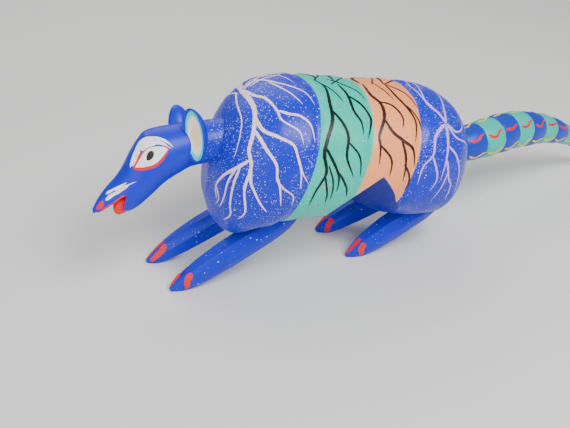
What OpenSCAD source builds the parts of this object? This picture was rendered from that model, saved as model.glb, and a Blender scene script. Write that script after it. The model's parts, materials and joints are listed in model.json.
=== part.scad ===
// Carved and painted wooden animal figure, facing -Y and standing on four paws.
// The trunk, the head with its neck, two ears, four legs and a tail are carved
// separately. The neck has its own tenon, the legs and the tail sit on dowels,
// and the ears and the tail pull out of their sockets.

/* [Trunk] */
// Length of the trunk along its own axis
trunk_l = 113; // [90:1:140]
// Width of the trunk at its widest
trunk_w = 63; // [50:1:76]
// Height of the trunk's section at the shoulders
trunk_h = 66; // [54:1:78]
// Height of the trunk's axis above the ground, at mid length
trunk_z = 46; // [42:1:56]
// Lift of the chest end of the axis, in degrees
trunk_pitch = 8; // [4:1:12]
// Depth of the carved grooves between the painted bands
groove_depth = 0.8; // [0:0.1:1.5]
// Height of the flank's knife cuts above the belly, where they meet
notch_rise = 28.5; // [16:0.5:30]

/* [Head] */
// Distance from the neck's seat in the chest to the tip of the snout
head_l = 60; // [54:0.5:66]
// Height of the head from its chin to its crown
head_h = 30.3; // [26:0.1:34]
// Width of the head at the eyes
head_w = 18.6; // [17.4:0.1:22]
// Diameter of the neck
neck_d = 16.8; // [14:0.1:19]
// Height of the neck's axis above the ground
neck_z = 61.5; // [58:0.5:66]
// Tilt of the head about the neck's axis, left ear up, in degrees
head_tilt = 25; // [0:1:30]
// Diameter of the tenon on the neck's end
neck_tenon_d = 9; // [7:0.5:11]
// Length of the tenon on the neck's end
neck_tenon_l = 14; // [8:1:20]

/* [Ears] */
// Height of an ear
ear_h = 20.5; // [17:0.5:25]
// Width of an ear's painted face
ear_w = 11.5; // [9.5:0.5:13.5]
// Thickness of an ear behind its face
ear_t = 5.5; // [4.5:0.5:7]
// Depth of the hollow in an ear's painted face
ear_hollow = 0.8; // [0.3:0.1:1.4]
// Turn of the left ear's face from the side towards the front, in degrees
ear_turn = 55; // [40:1:65]
// Turn of the right ear's face from the side towards the front, in degrees
right_ear_turn = 36; // [30:1:60]
// Diameter of an ear's tenon
ear_tenon_d = 3; // [2.4:0.1:3.6]
// Length of an ear's tenon
ear_tenon_l = 4.5; // [3.5:0.1:5.4]

/* [Legs] */
// Length of a front leg, from toe to top end
front_leg_l = 62; // [56:1:68]
// Length of a hind leg, from toe to top end
hind_leg_l = 50; // [46:1:55]
// Width of a leg at its thickest
leg_w = 11.2; // [9.4:0.2:14]
// Height of a leg at its thickest
leg_h = 11.6; // [10.6:0.2:14]
// Distance between the left and right legs' centre lines
leg_track = 23; // [20:0.5:28]
// How far the right legs stand ahead of the left ones
right_lead = 6; // [0:0.5:8]
// How far the front toes turn outwards, in degrees
front_splay = 2; // [0:1:4]
// How far the hind toes turn outwards, in degrees
hind_splay = 5; // [2:1:6]
// Diameter of the dowels in the legs
leg_dowel_d = 4; // [3:0.5:5]
// Depth of the dowel's hole in a leg
leg_dowel_in_leg = 5; // [3.5:0.5:6]
// Depth of the dowel's hole in the trunk
leg_dowel_in_trunk = 10; // [6:0.5:14]

/* [Tail] */
// Reach of the tail behind its seat
tail_l = 106; // [85:1:130]
// Turn of the tail's root to the animal's right, in degrees
tail_yaw = 8; // [0:1:12]
// Sideways curl of the tail's tip away from the root's line
tail_curl = 12.5; // [4:0.5:20]
// Height of the tail's axis above the ground where it leaves the trunk
tail_z = 40; // [38:0.5:43]
// Height of the tail's tip above the ground
tail_tip_z = 5.5; // [4:0.5:14]
// Diameter of the tail's round root
tail_root_d = 15; // [12:0.2:16]
// Diameter of the tail at its thickest
tail_d = 17.4; // [15.4:0.2:19]
// Number of painted rings on the tail
tail_rings = 10; // [7:1:13]
// Diameter of the tail's dowel
tail_dowel_d = 6; // [4:0.5:7]
// Length of the tail's dowel
tail_dowel_l = 22; // [16:1:28]

/* [Fits] */
// Clearance on the radius of a glued dowel or tenon
glue_gap = 0.05; // [0.03:0.01:0.1]
// Clearance on the radius of a dowel or tenon that turns or pulls out
slip_gap = 0.05; // [0.02:0.01:0.1]
// Clearance around the tail's root, and under an ear
socket_gap = 0.3; // [0.2:0.05:0.5]

/* [Hidden] */

$fn = 48;
blue = "#1f47c8";
bare_wood = "#d9b88a";

trunk_steps = 44;    // rings along the trunk
trunk_sides = 48;    // points around the trunk
head_steps = 36;
head_sides = 36;
ear_steps = 16;
ear_sides = 24;
leg_steps = 16;
leg_sides = 24;
tail_steps = 88;
tail_sides = 24;
far = 60;            // larger than any piece that a cutting block has to pass
dowel_slack = 0.3;   // how much a dowel stops short of the bottom of each of its holes

// The trunk's stations along its axis, from the chest to the rump:
// [share of length, top, bottom, half width], the last three as shares of half sizes
trunk_stations = [
    [0.00, 0.06, -0.46, 0.16], [0.04, 0.46, -0.82, 0.58], [0.10, 0.76, -0.94, 0.82],
    [0.20, 0.97, -0.84, 0.95], [0.32, 1.01, -0.72, 1.00], [0.44, 0.98, -0.70, 0.99],
    [0.56, 0.96, -0.70, 0.97], [0.66, 0.95, -0.71, 0.96], [0.78, 0.93, -0.76, 0.94],
    [0.89, 0.82, -0.77, 0.84], [0.96, 0.61, -0.61, 0.62], [1.00, 0.32, -0.32, 0.33],
];
squareness = 2.2;    // exponent of the trunk's section: 2 is an ellipse
trunk_mid_y = 27;    // the trunk's mid length, in the frame that the pieces are set out in
// Where the grooves between the painted bands cross the axis, as shares of the trunk's length
band_edges = [0.285, 0.488, 0.677];
band_lean = 11.5;    // degrees that the bands lean back towards the top
groove_half = 0.02;  // half width of a groove, as a share of the trunk's length

// Each flank has two flat knife cuts, which meet in a line that runs down to the keel
notch_y = 35.5;      // place of that line along the body
notch_share = 0.6;   // where along the trunk its height is measured from the keel
notch_slant = 43;    // how steeply the line climbs outwards, in degrees
notch_fore = 22;     // slope of the belly's cut, square to the line
notch_aft = 47;      // slope of the haunch's cut

neck_seat_y = trunk_mid_y - trunk_l / 2 + 13.5;  // where the neck's end stands inside the chest
tail_seat_y = trunk_mid_y + trunk_l / 2 - 4.5;   // where the tail's root stands inside the rump
seat_inset = 1.5;    // depth of the flats that the legs are glued to
seat_lean = 16;      // sideways lean of those flats, in degrees
seat_d = 30;         // diameter of the pared flats
sole_cut = 1.8;      // depth pared off under each paw to make its flat sole
toe_rise = 0.257;    // height of a toe's axis above its lowest point, as a share of the leg's height
// The two pairs of legs: [place of the seat along the trunk, length, splay,
// how far the left toe stands ahead of the seat, drop of the leg's axis under the seat]
front = [0.235, front_leg_l, front_splay, 44, 4.7];
hind = [0.85, hind_leg_l, hind_splay, 34, 1.8];

// The whole figure is moved so that its origin is under the middle of its length
snout_y = neck_seat_y - head_l;
tail_tip_y = tail_seat_y + tail_l * cos(tail_yaw) - tail_curl * sin(tail_yaw);
mid_y = (snout_y + tail_tip_y) / 2;

// ---- Smooth interpolation through a table of stations ----

// Slope of column c at row i, with no overshoot at a peak
function chord(tab, i, c) = (tab[i + 1][c] - tab[i][c]) / (tab[i + 1][0] - tab[i][0]);
function slope(tab, i, c) =
    i == 0 ? chord(tab, 0, c) :
    i == len(tab) - 1 ? chord(tab, i - 1, c) :
    let (a = chord(tab, i - 1, c), b = chord(tab, i, c))
    a * b > 0 ? 2 * a * b / (a + b) : 0;
function row_of(tab, t, i = 0) = i >= len(tab) - 2 || t < tab[i + 1][0] ? i : row_of(tab, t, i + 1);
// Cubic Hermite value of column c at station t
function smooth(tab, t, c) =
    let (i = row_of(tab, t), h = tab[i + 1][0] - tab[i][0], u = (t - tab[i][0]) / h)
    (2 * u^3 - 3 * u^2 + 1) * tab[i][c] + (u^3 - 2 * u^2 + u) * h * slope(tab, i, c)
    + (3 * u^2 - 2 * u^3) * tab[i + 1][c] + (u^3 - u^2) * h * slope(tab, i + 1, c);

// A rounded section: x and z on a superellipse at an angle from the top
function power_of(v, n) = sign(v) * pow(abs(v), 2 / n);
function section(a, n) = [power_of(sin(a), n), power_of(cos(a), n)];

// Closed skin over equal rings of points, with flat ends
module skin(rings) {
    n = len(rings[0]);
    m = len(rings);
    polyhedron(
        points = [for (r = rings) each r],
        faces = concat(
            [[for (k = [0 : n - 1]) k]],
            [for (i = [0 : m - 2], k = [0 : n - 1]) each
                let (a = i * n + k, b = i * n + (k + 1) % n)
                [[a, a + n, b], [b, a + n, b + n]]],
            [[for (k = [n - 1 : -1 : 0]) (m - 1) * n + k]]
        ),
        convexity = 8
    );
}

// ---- Frames ----

module figure_frame() translate([0, -mid_y, 0]) children();
module trunk_frame() translate([0, trunk_mid_y, trunk_z]) rotate([-trunk_pitch, 0, 0]) children();
// The neck's axis runs along Y; the head is tilted about it
module head_frame() translate([0, neck_seat_y, neck_z]) rotate([0, -head_tilt, 0]) children();
// Z runs out of the rump, along the tail's root
module tail_frame() translate([0, tail_seat_y, tail_z]) rotate([-90, 0, tail_yaw]) children();

// Half sizes of the trunk at a share of its length
function trunk_top(t) = smooth(trunk_stations, t, 1) * trunk_h / 2;
function trunk_bottom(t) = smooth(trunk_stations, t, 2) * trunk_h / 2;
function trunk_side(t) = smooth(trunk_stations, t, 3) * trunk_w / 2;
// Height of the underside at sideways distance x
function trunk_under(t, x) =
    let (top = trunk_top(t), bottom = trunk_bottom(t))
    (top + bottom) / 2
    - (top - bottom) / 2 * pow(1 - pow(x / trunk_side(t), squareness), 1 / squareness);

// A leg's seat, over the leg's centre line, in the trunk's frame
function seat_at(pair) =
    let (x = leg_track / 2 - pair[3] * tan(pair[2]))
    [x, (pair[0] - 0.5) * trunk_l, trunk_under(pair[0], x) + seat_inset];
// Y and height of the seat in the set-out frame
function seat_y(pair) = let (p = seat_at(pair)) trunk_mid_y + p[1] * cos(trunk_pitch) + p[2] * sin(trunk_pitch);
function seat_z(pair) = let (p = seat_at(pair)) trunk_z - p[1] * sin(trunk_pitch) + p[2] * cos(trunk_pitch);
// Z points out of the trunk's underside. side is 1 for left, -1 for right
module seat_frame(pair, side) {
    p = seat_at(pair);
    trunk_frame()
        translate([side * p[0], p[1], p[2]])
            rotate([180, side * seat_lean, 0])
                children();
}

// ---- Trunk ----

// How deep a band groove is at share t and height z, as a fraction of its full depth
function groove(t, z) = max([for (e = band_edges)
    exp(-pow((t - e - z * tan(band_lean) / trunk_l) / groove_half, 2))]);

module trunk_blank() {
    skin([for (i = [0 : trunk_steps])
        let (
            t = (1 - cos(180 * i / trunk_steps)) / 2 * 0.35 + i / trunk_steps * 0.65,
            top = trunk_top(t), bottom = trunk_bottom(t), side = trunk_side(t),
            mid = (top + bottom) / 2, half = (top - bottom) / 2
        )
        [for (k = [0 : trunk_sides - 1])
            let (
                s = section(360 * k / trunk_sides, squareness),
                in = 1 - groove_depth * groove(t, half * s[1]) / half
            )
            [side * s[0] * in, (t - 0.5) * trunk_l, mid + half * s[1] * in]]]);
}

// The two knife cuts of one flank, as a long wedge along the line where they meet
module flank_cut(side) {
    translate([side * trunk_w / 2, notch_y, trunk_z + trunk_bottom(notch_share) + notch_rise])
        rotate([0, -side * notch_slant, 0])
            translate([-far, 0, 0])
                rotate([90, 0, 90])
                    linear_extrude(2 * far)
                        polygon([
                            [0, 0],
                            [-far * cos(notch_fore), -far * sin(notch_fore)],
                            [far * cos(notch_aft), -far * sin(notch_aft)],
                        ]);
}

module each_leg() {
    for (side = [-1, 1], pair = [front, hind])
        seat_frame(pair, side) children();
}

module trunk() {
    color(blue) difference() {
        trunk_frame() trunk_blank();
        for (side = [-1, 1]) flank_cut(side);
        // pared flats and dowel holes for the legs
        each_leg() {
            cylinder(d = seat_d, h = far / 4);
            translate([0, 0, -leg_dowel_in_trunk])
                cylinder(d = leg_dowel_d + 2 * glue_gap, h = leg_dowel_in_trunk + 1);
        }
        // socket and tenon hole for the neck
        translate([0, neck_seat_y, neck_z]) rotate([90, 0, 0])
            cylinder(d = neck_d + 2 * glue_gap, h = far);
        translate([0, neck_seat_y, neck_z]) rotate([-90, 0, 0])
            translate([0, 0, -1])
                cylinder(d = neck_tenon_d + 2 * glue_gap, h = neck_tenon_l + 2);
        // socket and dowel hole for the tail
        tail_frame() {
            cylinder(d = tail_root_d + 2 * socket_gap, h = far);
            translate([0, 0, -tail_dowel_l / 2 - 1])
                cylinder(d = tail_dowel_d + 2 * slip_gap, h = tail_dowel_l / 2 + 2);
        }
    }
}

// ---- Head ----

neck_run = 13.5;     // straight part of the neck, from its seat to where the head starts
neck_lap = 1;        // how far the straight part runs on inside the head
neck_step = 0.12;    // how much the head stands proud of the straight part where it starts
skull_l = head_l - neck_run;
// The head's stations: [share of its length, top, bottom, half width], in its own frame
head_stations = [
    [0.00, neck_d / 2 + neck_step, -neck_d / 2 - neck_step, neck_d / 2 + neck_step],
    [0.12, neck_d * 0.52, -neck_d * 0.53, neck_d * 0.52],
    [0.25, head_h * 0.282, -head_h * 0.36, head_w * 0.48],
    [0.38, head_h * 0.274, -head_h * 0.45, head_w * 0.50],
    [0.48, head_h * 0.244, -head_h * 0.555, head_w * 0.495],
    [0.55, head_h * 0.152, -head_h * 0.625, head_w * 0.47],
    [0.63, head_h * 0.003, -head_h * 0.70, head_w * 0.41],
    [0.71, -head_h * 0.168, -head_h * 0.74, head_w * 0.34],
    [0.78, -head_h * 0.284, -head_h * 0.74, head_w * 0.27],
    [0.87, -head_h * 0.40, -head_h * 0.715, head_w * 0.20],
    [0.95, -head_h * 0.531, -head_h * 0.705, head_w * 0.14],
    [1.00, -head_h * 0.64, -head_h * 0.695, head_w * 0.06],
];
mouth_share = 0.717; // place of the mouth's corner along the skull
mouth_z = -0.518;    // height of the mouth's corner, as a share of the head's height
lip_slope = 23;      // fall of the lip's line towards the snout, in degrees
jaw_lean = 18;       // lean of the lower jaw's blunt end, in degrees

module skull() {
    skin([for (i = [0 : head_steps])
        let (
            t = i / head_steps, top = smooth(head_stations, t, 1),
            bottom = smooth(head_stations, t, 2), side = smooth(head_stations, t, 3),
            mid = (top + bottom) / 2, half = (top - bottom) / 2
        )
        [for (k = [0 : head_sides - 1])
            let (a = -360 * k / head_sides)
            [side * sin(a), -neck_run - t * skull_l, mid + half * cos(a)]]]);
}

// The mouth's corner in the head's frame
module mouth_frame() translate([0, -neck_run - mouth_share * skull_l, mouth_z * head_h]) children();

// Everything under the upper lip and ahead of the lower jaw's end is cut away
module mouth_cut() {
    mouth_frame() rotate([90, 0, -90]) translate([0, 0, -far / 2]) linear_extrude(far)
        polygon([
            [0, 0],
            [far * cos(lip_slope), -far * sin(lip_slope)],
            [far * cos(lip_slope), -far],
            [far * sin(jaw_lean), -far],
        ]);
}

// A stub that fills the back of the open mouth
module tongue() {
    mouth_frame() hull() {
        translate([0, 0.6, -2.5]) sphere(r = 2.4, $fn = 24);
        translate([0, -1, -5.4]) sphere(r = 2, $fn = 24);
        translate([0, -3.6, -2.9]) sphere(r = 1.8, $fn = 24);
        translate([0, -3.4, -4.6]) sphere(r = 1.9, $fn = 24);
    }
}

module head() {
    bore = ear_tenon_l + 0.5;
    color(blue) head_frame() difference() {
        union() {
            difference() {
                skull();
                mouth_cut();
            }
            tongue();
            rotate([90, 0, 0]) cylinder(d = neck_d, h = neck_run + neck_lap);
            rotate([-90, 0, 0]) translate([0, 0, -1]) cylinder(d = neck_tenon_d, h = neck_tenon_l + 1);
        }
        for (side = [-1, 1])
            ear_frame(side) translate([0, 0, -bore])
                cylinder(d = ear_tenon_d + 2 * slip_gap, h = far);
    }
}

// ---- Ears ----

ear_y = 17.5;        // place of an ear's tenon, ahead of the neck's seat
ear_z = 1.5;         // height of the tenon above the neck's axis
ear_seat_x = neck_d / 2 - 0.6;  // where the tenon begins, out from the head's midplane
ear_rise = 2;        // the ear's middle above its tenon
right_ear_lead = 1.5;  // how far the right ear stands ahead of the left one
right_ear_lift = 2;    // how much higher the right ear's middle stands above its tenon
ear_out = 3.6;       // the middle of an ear's face, out from where its tenon begins
ear_fore = 1.6;      // the middle of an ear's face, ahead of its tenon
ear_overlap = 1.5;   // how far the tenon runs on inside the ear
// Radius that the ear's inner side is carved to, so that it lies close to the head
ear_seat_r = max(smooth(head_stations, 0.16, 3), neck_d * 0.53) + socket_gap;

// Z runs out of the side of the head along the tenon, X runs back, Y runs up the head
module ear_frame(side) {
    translate([side * ear_seat_x, -ear_y - (side < 0 ? right_ear_lead : 0), ear_z])
        rotate([90, 0, 90 * side]) mirror([side < 0 ? 1 : 0, 0, 0])
            children();
}

// Half of an ellipsoid with a hollowed flat face, as rings from the lower tip to the upper
module ear_leaf() {
    skin([for (i = [0 : ear_steps])
        let (v = -cos(180 * (0.04 + 0.92 * i / ear_steps)), w = pow(1 - v * v, 0.55))
        [for (k = [0 : ear_sides - 1])
            let (
                a = 360 * k / ear_sides, s = sin(a), c = cos(a),
                // one half of a ring is the hollowed face, the other is the round back
                z = c > 0 ? -ear_hollow * w * c * c : ear_t * w * c
            )
            [ear_w / 2 * w * s * (c > 0 ? 0.97 : 1), v * ear_h / 2, z]]]);
}

// The ear's inner side is carved to the head that it lies against
module ear(side) {
    color(blue) head_frame() {
        ear_frame(side) translate([0, 0, -ear_tenon_l])
            cylinder(d = ear_tenon_d, h = ear_tenon_l + ear_overlap);
        difference() {
            ear_frame(side) translate([-ear_fore, ear_rise + (side < 0 ? right_ear_lift : 0), ear_out])
                rotate([0, -(side < 0 ? right_ear_turn : ear_turn), 0]) ear_leaf();
            rotate([90, 0, 0]) cylinder(r = ear_seat_r, h = far);
        }
    }
}

// ---- Legs ----

// A leg from toe to top end: [share of length, half width, top, bottom], as shares of half sizes
leg_squareness = 2.5;
leg_stations = [
    [0.00, 0.14, 0.05, -0.42], [0.05, 0.38, 0.28, -0.66], [0.14, 0.66, 0.56, -0.84],
    [0.30, 0.90, 0.84, -0.94], [0.50, 1.00, 1.00, -0.98], [0.72, 0.98, 1.00, -0.96],
    [0.88, 0.86, 0.92, -0.84], [1.00, 0.50, 0.62, -0.50],
];

module leg_stick(length) {
    skin([for (i = [0 : leg_steps])
        let (
            t = pow(i / leg_steps, 1.25),
            side = smooth(leg_stations, t, 1) * leg_w / 2,
            top = smooth(leg_stations, t, 2) * leg_h / 2,
            bottom = smooth(leg_stations, t, 3) * leg_h / 2,
            mid = (top + bottom) / 2, half = (top - bottom) / 2
        )
        [for (k = [0 : leg_sides - 1])
            let (s = section(360 * k / leg_sides, leg_squareness))
            [side * s[0], t * length, mid + half * s[1]]]]);
}

// A leg runs back and up from its toe to just under its seat, is pared flat under the
// paw, and is cut off square to the seat
module leg(pair, side) {
    lead = side < 0 ? right_lead : 0;
    toe_z = leg_h * toe_rise - sole_cut;
    slope = atan((seat_z(pair) - pair[4] - toe_z) * cos(pair[2]) / pair[3]);
    color(blue) difference() {
        translate([side * leg_track / 2, seat_y(pair) - pair[3] - lead, toe_z])
            rotate([slope, 0, side * pair[2]])
                leg_stick(pair[1]);
        translate([-far, -2 * far, -far]) cube([2 * far, 5 * far, far]);
        seat_frame(pair, side) {
            translate([0, 0, -far]) cylinder(d = 2 * far, h = far + glue_gap);
            cylinder(d = leg_dowel_d + 2 * glue_gap, h = leg_dowel_in_leg);
        }
    }
}

module leg_dowel(pair, side) {
    color(bare_wood) seat_frame(pair, side)
        translate([0, 0, -leg_dowel_in_trunk + dowel_slack])
            cylinder(d = leg_dowel_d, h = leg_dowel_in_trunk + leg_dowel_in_leg - 2 * dowel_slack);
}

// ---- Tail ----

root_l = 8;          // straight cylinder at the tail's root
root_lap = 1;        // how far the cylinder runs on inside the rings
root_step = 0.12;    // how much the first ring stands proud of the cylinder
// The tail's centre line: [share of reach, share of curl, share of fall]
tail_line = [
    [0.00, 0.00, 0.00], [0.08, 0.00, 0.00], [0.20, 0.05, 0.00], [0.34, 0.22, 0.02],
    [0.51, 0.42, 0.12], [0.67, 0.58, 0.29], [0.80, 0.73, 0.50], [0.91, 0.87, 0.75],
    [1.00, 1.00, 1.00],
];
// Radius along the tail, as shares of its thickest
tail_radii = [
    [0.00, tail_root_d / tail_d], [0.08, tail_root_d / tail_d], [0.18, 0.97], [0.30, 1.00],
    [0.44, 0.96], [0.56, 0.83], [0.69, 0.66], [0.82, 0.47], [0.93, 0.28], [1.00, 0.08],
];
ring_swell = 0.08;   // how much a painted ring swells between its grooves

// Centre of the tail at share t of its reach, with Y along the root and Z up
function tail_centre(t) = [
    -smooth(tail_line, t, 1) * tail_curl, t * tail_l,
    -smooth(tail_line, t, 2) * (tail_z - tail_tip_z),
];
function unit(v) = v / norm(v);
function tail_way(t) = unit(tail_centre(min(t + 0.005, 1)) - tail_centre(max(t - 0.005, 0)));

module tail_skin() {
    start = root_l / tail_l;
    skin([for (i = [0 : tail_steps])
        let (
            t = start + (1 - start) * i / tail_steps,
            way = i == 0 ? [0, 1, 0] : tail_way(t),
            across = unit(cross(way, [0, 0, 1])), up = cross(across, way),
            lobe = pow(abs(sin(180 * tail_rings * (t - start) / (1 - start))), 0.7),
            swell = i == 0 ? 1 : 1 + ring_swell * (lobe - 0.6),
            r = max(smooth(tail_radii, t, 1) * tail_d / 2 * swell, i < 3 ? tail_root_d / 2 + root_step : 0)
        )
        [for (k = [0 : tail_sides - 1])
            let (a = 360 * k / tail_sides)
            tail_centre(t) + r * sin(a) * across + r * cos(a) * up]]);
}

module tail() {
    color(blue) difference() {
        tail_frame() union() {
            cylinder(d = tail_root_d, h = root_l + root_lap);
            rotate([90, 0, 0]) tail_skin();
        }
        tail_frame() translate([0, 0, -1])
            cylinder(d = tail_dowel_d + 2 * glue_gap, h = tail_dowel_l / 2 + 1);
    }
}

module tail_dowel() {
    color(bare_wood) tail_frame() translate([0, 0, -tail_dowel_l / 2 + dowel_slack])
        cylinder(d = tail_dowel_d, h = tail_dowel_l - 2 * dowel_slack);
}

figure_frame() trunk();
figure_frame() head();
figure_frame() ear(1);  // left_ear
figure_frame() ear(-1);  // right_ear
figure_frame() leg(front, 1);  // front_left_leg
figure_frame() leg(front, -1);  // front_right_leg
figure_frame() leg(hind, 1);  // hind_left_leg
figure_frame() leg(hind, -1);  // hind_right_leg
figure_frame() leg_dowel(front, 1);  // front_left_dowel
figure_frame() leg_dowel(front, -1);  // front_right_dowel
figure_frame() leg_dowel(hind, 1);  // hind_left_dowel
figure_frame() leg_dowel(hind, -1);  // hind_right_dowel
figure_frame() tail_dowel();
figure_frame() tail();
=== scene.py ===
"""Looks of a carved and painted wooden animal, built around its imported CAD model.

The figure was whittled as a trunk, a head with its neck, two ears, four legs and a
tail, and then painted with satin acrylics. Every shape here is a surface worked out
from a few stations or a formula, and every painted line is a thin raised stroke that
lies on such a surface. Lengths are in millimetres until a mesh is made, in metres.
"""
from __future__ import annotations

import json
import logging
import math
from collections.abc import Callable, Iterable, Sequence
from dataclasses import dataclass, field
from enum import Enum

import bpy
import numpy as np
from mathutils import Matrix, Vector

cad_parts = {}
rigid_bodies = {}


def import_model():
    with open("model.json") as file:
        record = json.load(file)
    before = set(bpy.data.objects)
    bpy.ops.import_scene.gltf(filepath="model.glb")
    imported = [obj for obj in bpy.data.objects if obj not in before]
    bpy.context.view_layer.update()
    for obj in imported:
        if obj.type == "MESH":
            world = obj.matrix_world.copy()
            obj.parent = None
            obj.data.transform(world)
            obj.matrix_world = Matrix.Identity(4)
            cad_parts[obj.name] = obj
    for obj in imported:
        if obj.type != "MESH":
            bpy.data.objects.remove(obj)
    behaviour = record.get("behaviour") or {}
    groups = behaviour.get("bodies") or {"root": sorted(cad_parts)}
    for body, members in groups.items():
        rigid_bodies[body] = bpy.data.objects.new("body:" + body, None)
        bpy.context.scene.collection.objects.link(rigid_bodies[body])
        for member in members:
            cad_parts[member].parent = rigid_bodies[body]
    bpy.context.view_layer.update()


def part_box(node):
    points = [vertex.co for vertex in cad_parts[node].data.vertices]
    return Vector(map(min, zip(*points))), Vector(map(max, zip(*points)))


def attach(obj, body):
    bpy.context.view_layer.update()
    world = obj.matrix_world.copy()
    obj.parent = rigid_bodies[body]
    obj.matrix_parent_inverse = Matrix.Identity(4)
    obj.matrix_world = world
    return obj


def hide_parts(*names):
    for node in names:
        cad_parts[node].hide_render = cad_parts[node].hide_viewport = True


log = logging.getLogger("figure")

Array = np.ndarray
Surface = Callable[[Array, Array], Array]

MM = 0.001


# --------------------------------------------------------------------------- finishes


def linear(code: str) -> tuple[float, float, float, float]:
    """Turn a hexadecimal sRGB colour into the linear one that a shader takes.

    Args:
        code: Six hexadecimal digits.

    Returns:
        Red, green, blue and alpha.
    """
    parts = [int(code[i:i + 2], 16) / 255 for i in (0, 2, 4)]
    lit = [c / 12.92 if c <= 0.04045 else ((c + 0.055) / 1.055) ** 2.4 for c in parts]
    return (lit[0], lit[1], lit[2], 1.0)


class Paint(Enum):
    """The acrylic colours that the figure is painted with, and a darker blue that paints shade onto cut faces."""

    BLUE = "001ec2"
    # darker blue for painted shade on the cut faces, whose own paint is the plain blue
    SHADE_BLUE = "02178c"
    TEAL = "00bfa8"
    PEACH = "ff9c60"
    WHITE = "f6f2f4"
    PINK_WHITE = "f6d6ea"
    LAVENDER = "c9a2ee"
    BLACK = "04100f"
    MAROON = "33100c"
    RED = "dc161c"
    ROSE = "e0281f"
    YELLOW = "f0d81e"
    CREAM = "fbe6b4"
    SKY = "00d6d6"
    MIST = "5f86ea"
    PUPIL = "17171a"
    BARE_WOOD = "c9a06c"

    @property
    def rgba(self) -> tuple[float, float, float, float]:
        """The colour in linear light."""
        return linear(self.value)


@dataclass
class Graph:
    """Small helper that adds nodes to one node tree and links them."""

    tree: bpy.types.NodeTree

    def node(self, kind: str, inputs: dict | None = None, **settings: object) -> bpy.types.Node:
        """Add a node.

        Args:
            kind: The node's Blender type.
            inputs: A value or an output socket for each input, by name or index.
            settings: Values for the node's own properties.

        Returns:
            The new node.
        """
        made = self.tree.nodes.new(kind)
        for name, value in settings.items():
            setattr(made, name, value)
        for key, value in (inputs or {}).items():
            self.feed(made.inputs[key], value)
        return made

    def feed(self, socket: bpy.types.NodeSocket, value: object) -> None:
        """Link an output to a socket, or set the socket's own value."""
        if isinstance(value, bpy.types.NodeSocket):
            self.tree.links.new(value, socket)
        else:
            socket.default_value = value

    def math(self, operation: str, first: object, second: object = 0.0, clamp: bool = False) -> bpy.types.NodeSocket:
        """Add a Math node and return its output."""
        return self.node("ShaderNodeMath", {0: first, 1: second}, operation=operation, use_clamp=clamp).outputs[0]

    def mix(self, share: object, first: object, second: object, blend: str = "MIX") -> bpy.types.NodeSocket:
        """Add a colour Mix node and return its output."""
        made = self.node("ShaderNodeMix", data_type="RGBA", blend_type=blend)
        for socket, value in zip((made.inputs[0], made.inputs[6], made.inputs[7]), (share, first, second)):
            self.feed(socket, value)
        return made.outputs[2]

    def ramp(self, value: object, low: float, high: float,
             start: float = 0.0, end: float = 1.0) -> bpy.types.NodeSocket:
        """Map a value from low..high to start..end, clamped and smooth."""
        made = self.node("ShaderNodeMapRange", {0: value, 1: low, 2: high, 3: start, 4: end},
                         interpolation_type="SMOOTHSTEP")
        return made.outputs[0]

    def noise(self, place: object, scale: float, detail: float = 2.0, roughness: float = 0.5) -> bpy.types.NodeSocket:
        """Add a Noise Texture and return its value."""
        return self.node("ShaderNodeTexNoise", {"Vector": place, "Scale": scale, "Detail": detail,
                                                "Roughness": roughness}).outputs[0]


def group(name: str, inputs: Sequence[tuple[str, str, float]],
          outputs: Sequence[tuple[str, str]]) -> bpy.types.NodeTree:
    """Start a shader node group with named sockets.

    Args:
        name: The group's name.
        inputs: Name, socket type and default of each input.
        outputs: Name and socket type of each output.

    Returns:
        The group, holding only its input and output nodes.
    """
    tree = bpy.data.node_groups.new(name, "ShaderNodeTree")
    for label, kind, default in inputs:
        made = tree.interface.new_socket(label, in_out="INPUT", socket_type=kind)
        if kind == "NodeSocketFloat":
            made.default_value = default
    for label, kind in outputs:
        tree.interface.new_socket(label, in_out="OUTPUT", socket_type=kind)
    tree.nodes.new("NodeGroupInput")
    tree.nodes.new("NodeGroupOutput")
    return tree


FLOAT = "NodeSocketFloat"
VECTOR = "NodeSocketVector"


def make_brushwork() -> bpy.types.NodeTree:
    """Group for hand-laid acrylic: tone that drifts, a satin sheen that varies, and bristle marks.

    Returns:
        The group. Its outputs are a tone factor round 1, a roughness and a height.
    """
    tree = group("brushwork", [("Place", VECTOR, 0), ("Roughness", FLOAT, 0.4), ("Drift", FLOAT, 0.12)],
                 [("Tone", FLOAT), ("Roughness", FLOAT), ("Height", FLOAT)])
    g = Graph(tree)
    enter, leave = tree.nodes["Group Input"].outputs, tree.nodes["Group Output"].inputs
    broad = g.noise(enter["Place"], 55.0, 2.0)
    fine = g.noise(enter["Place"], 420.0, 3.0, 0.6)
    stretched = g.node("ShaderNodeVectorMath", {0: enter["Place"], 1: (1.0, 0.12, 1.0)},
                       operation="MULTIPLY").outputs[0]
    bristle = g.noise(stretched, 1500.0, 2.0, 0.55)
    centred = g.math("SUBTRACT", g.math("ADD", g.math("MULTIPLY", broad, 0.7), g.math("MULTIPLY", fine, 0.3)), 0.5)
    g.feed(leave["Tone"], g.math("ADD", 1.0, g.math("MULTIPLY", centred, enter["Drift"])))
    uneven = g.math("MULTIPLY", g.math("SUBTRACT", fine, 0.5), 0.22)
    g.feed(leave["Roughness"], g.math("ADD", enter["Roughness"], uneven, clamp=True))
    g.feed(leave["Height"], g.math("ADD", g.math("MULTIPLY", bristle, 0.5), g.math("MULTIPLY", fine, 0.5)))
    return tree


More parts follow.
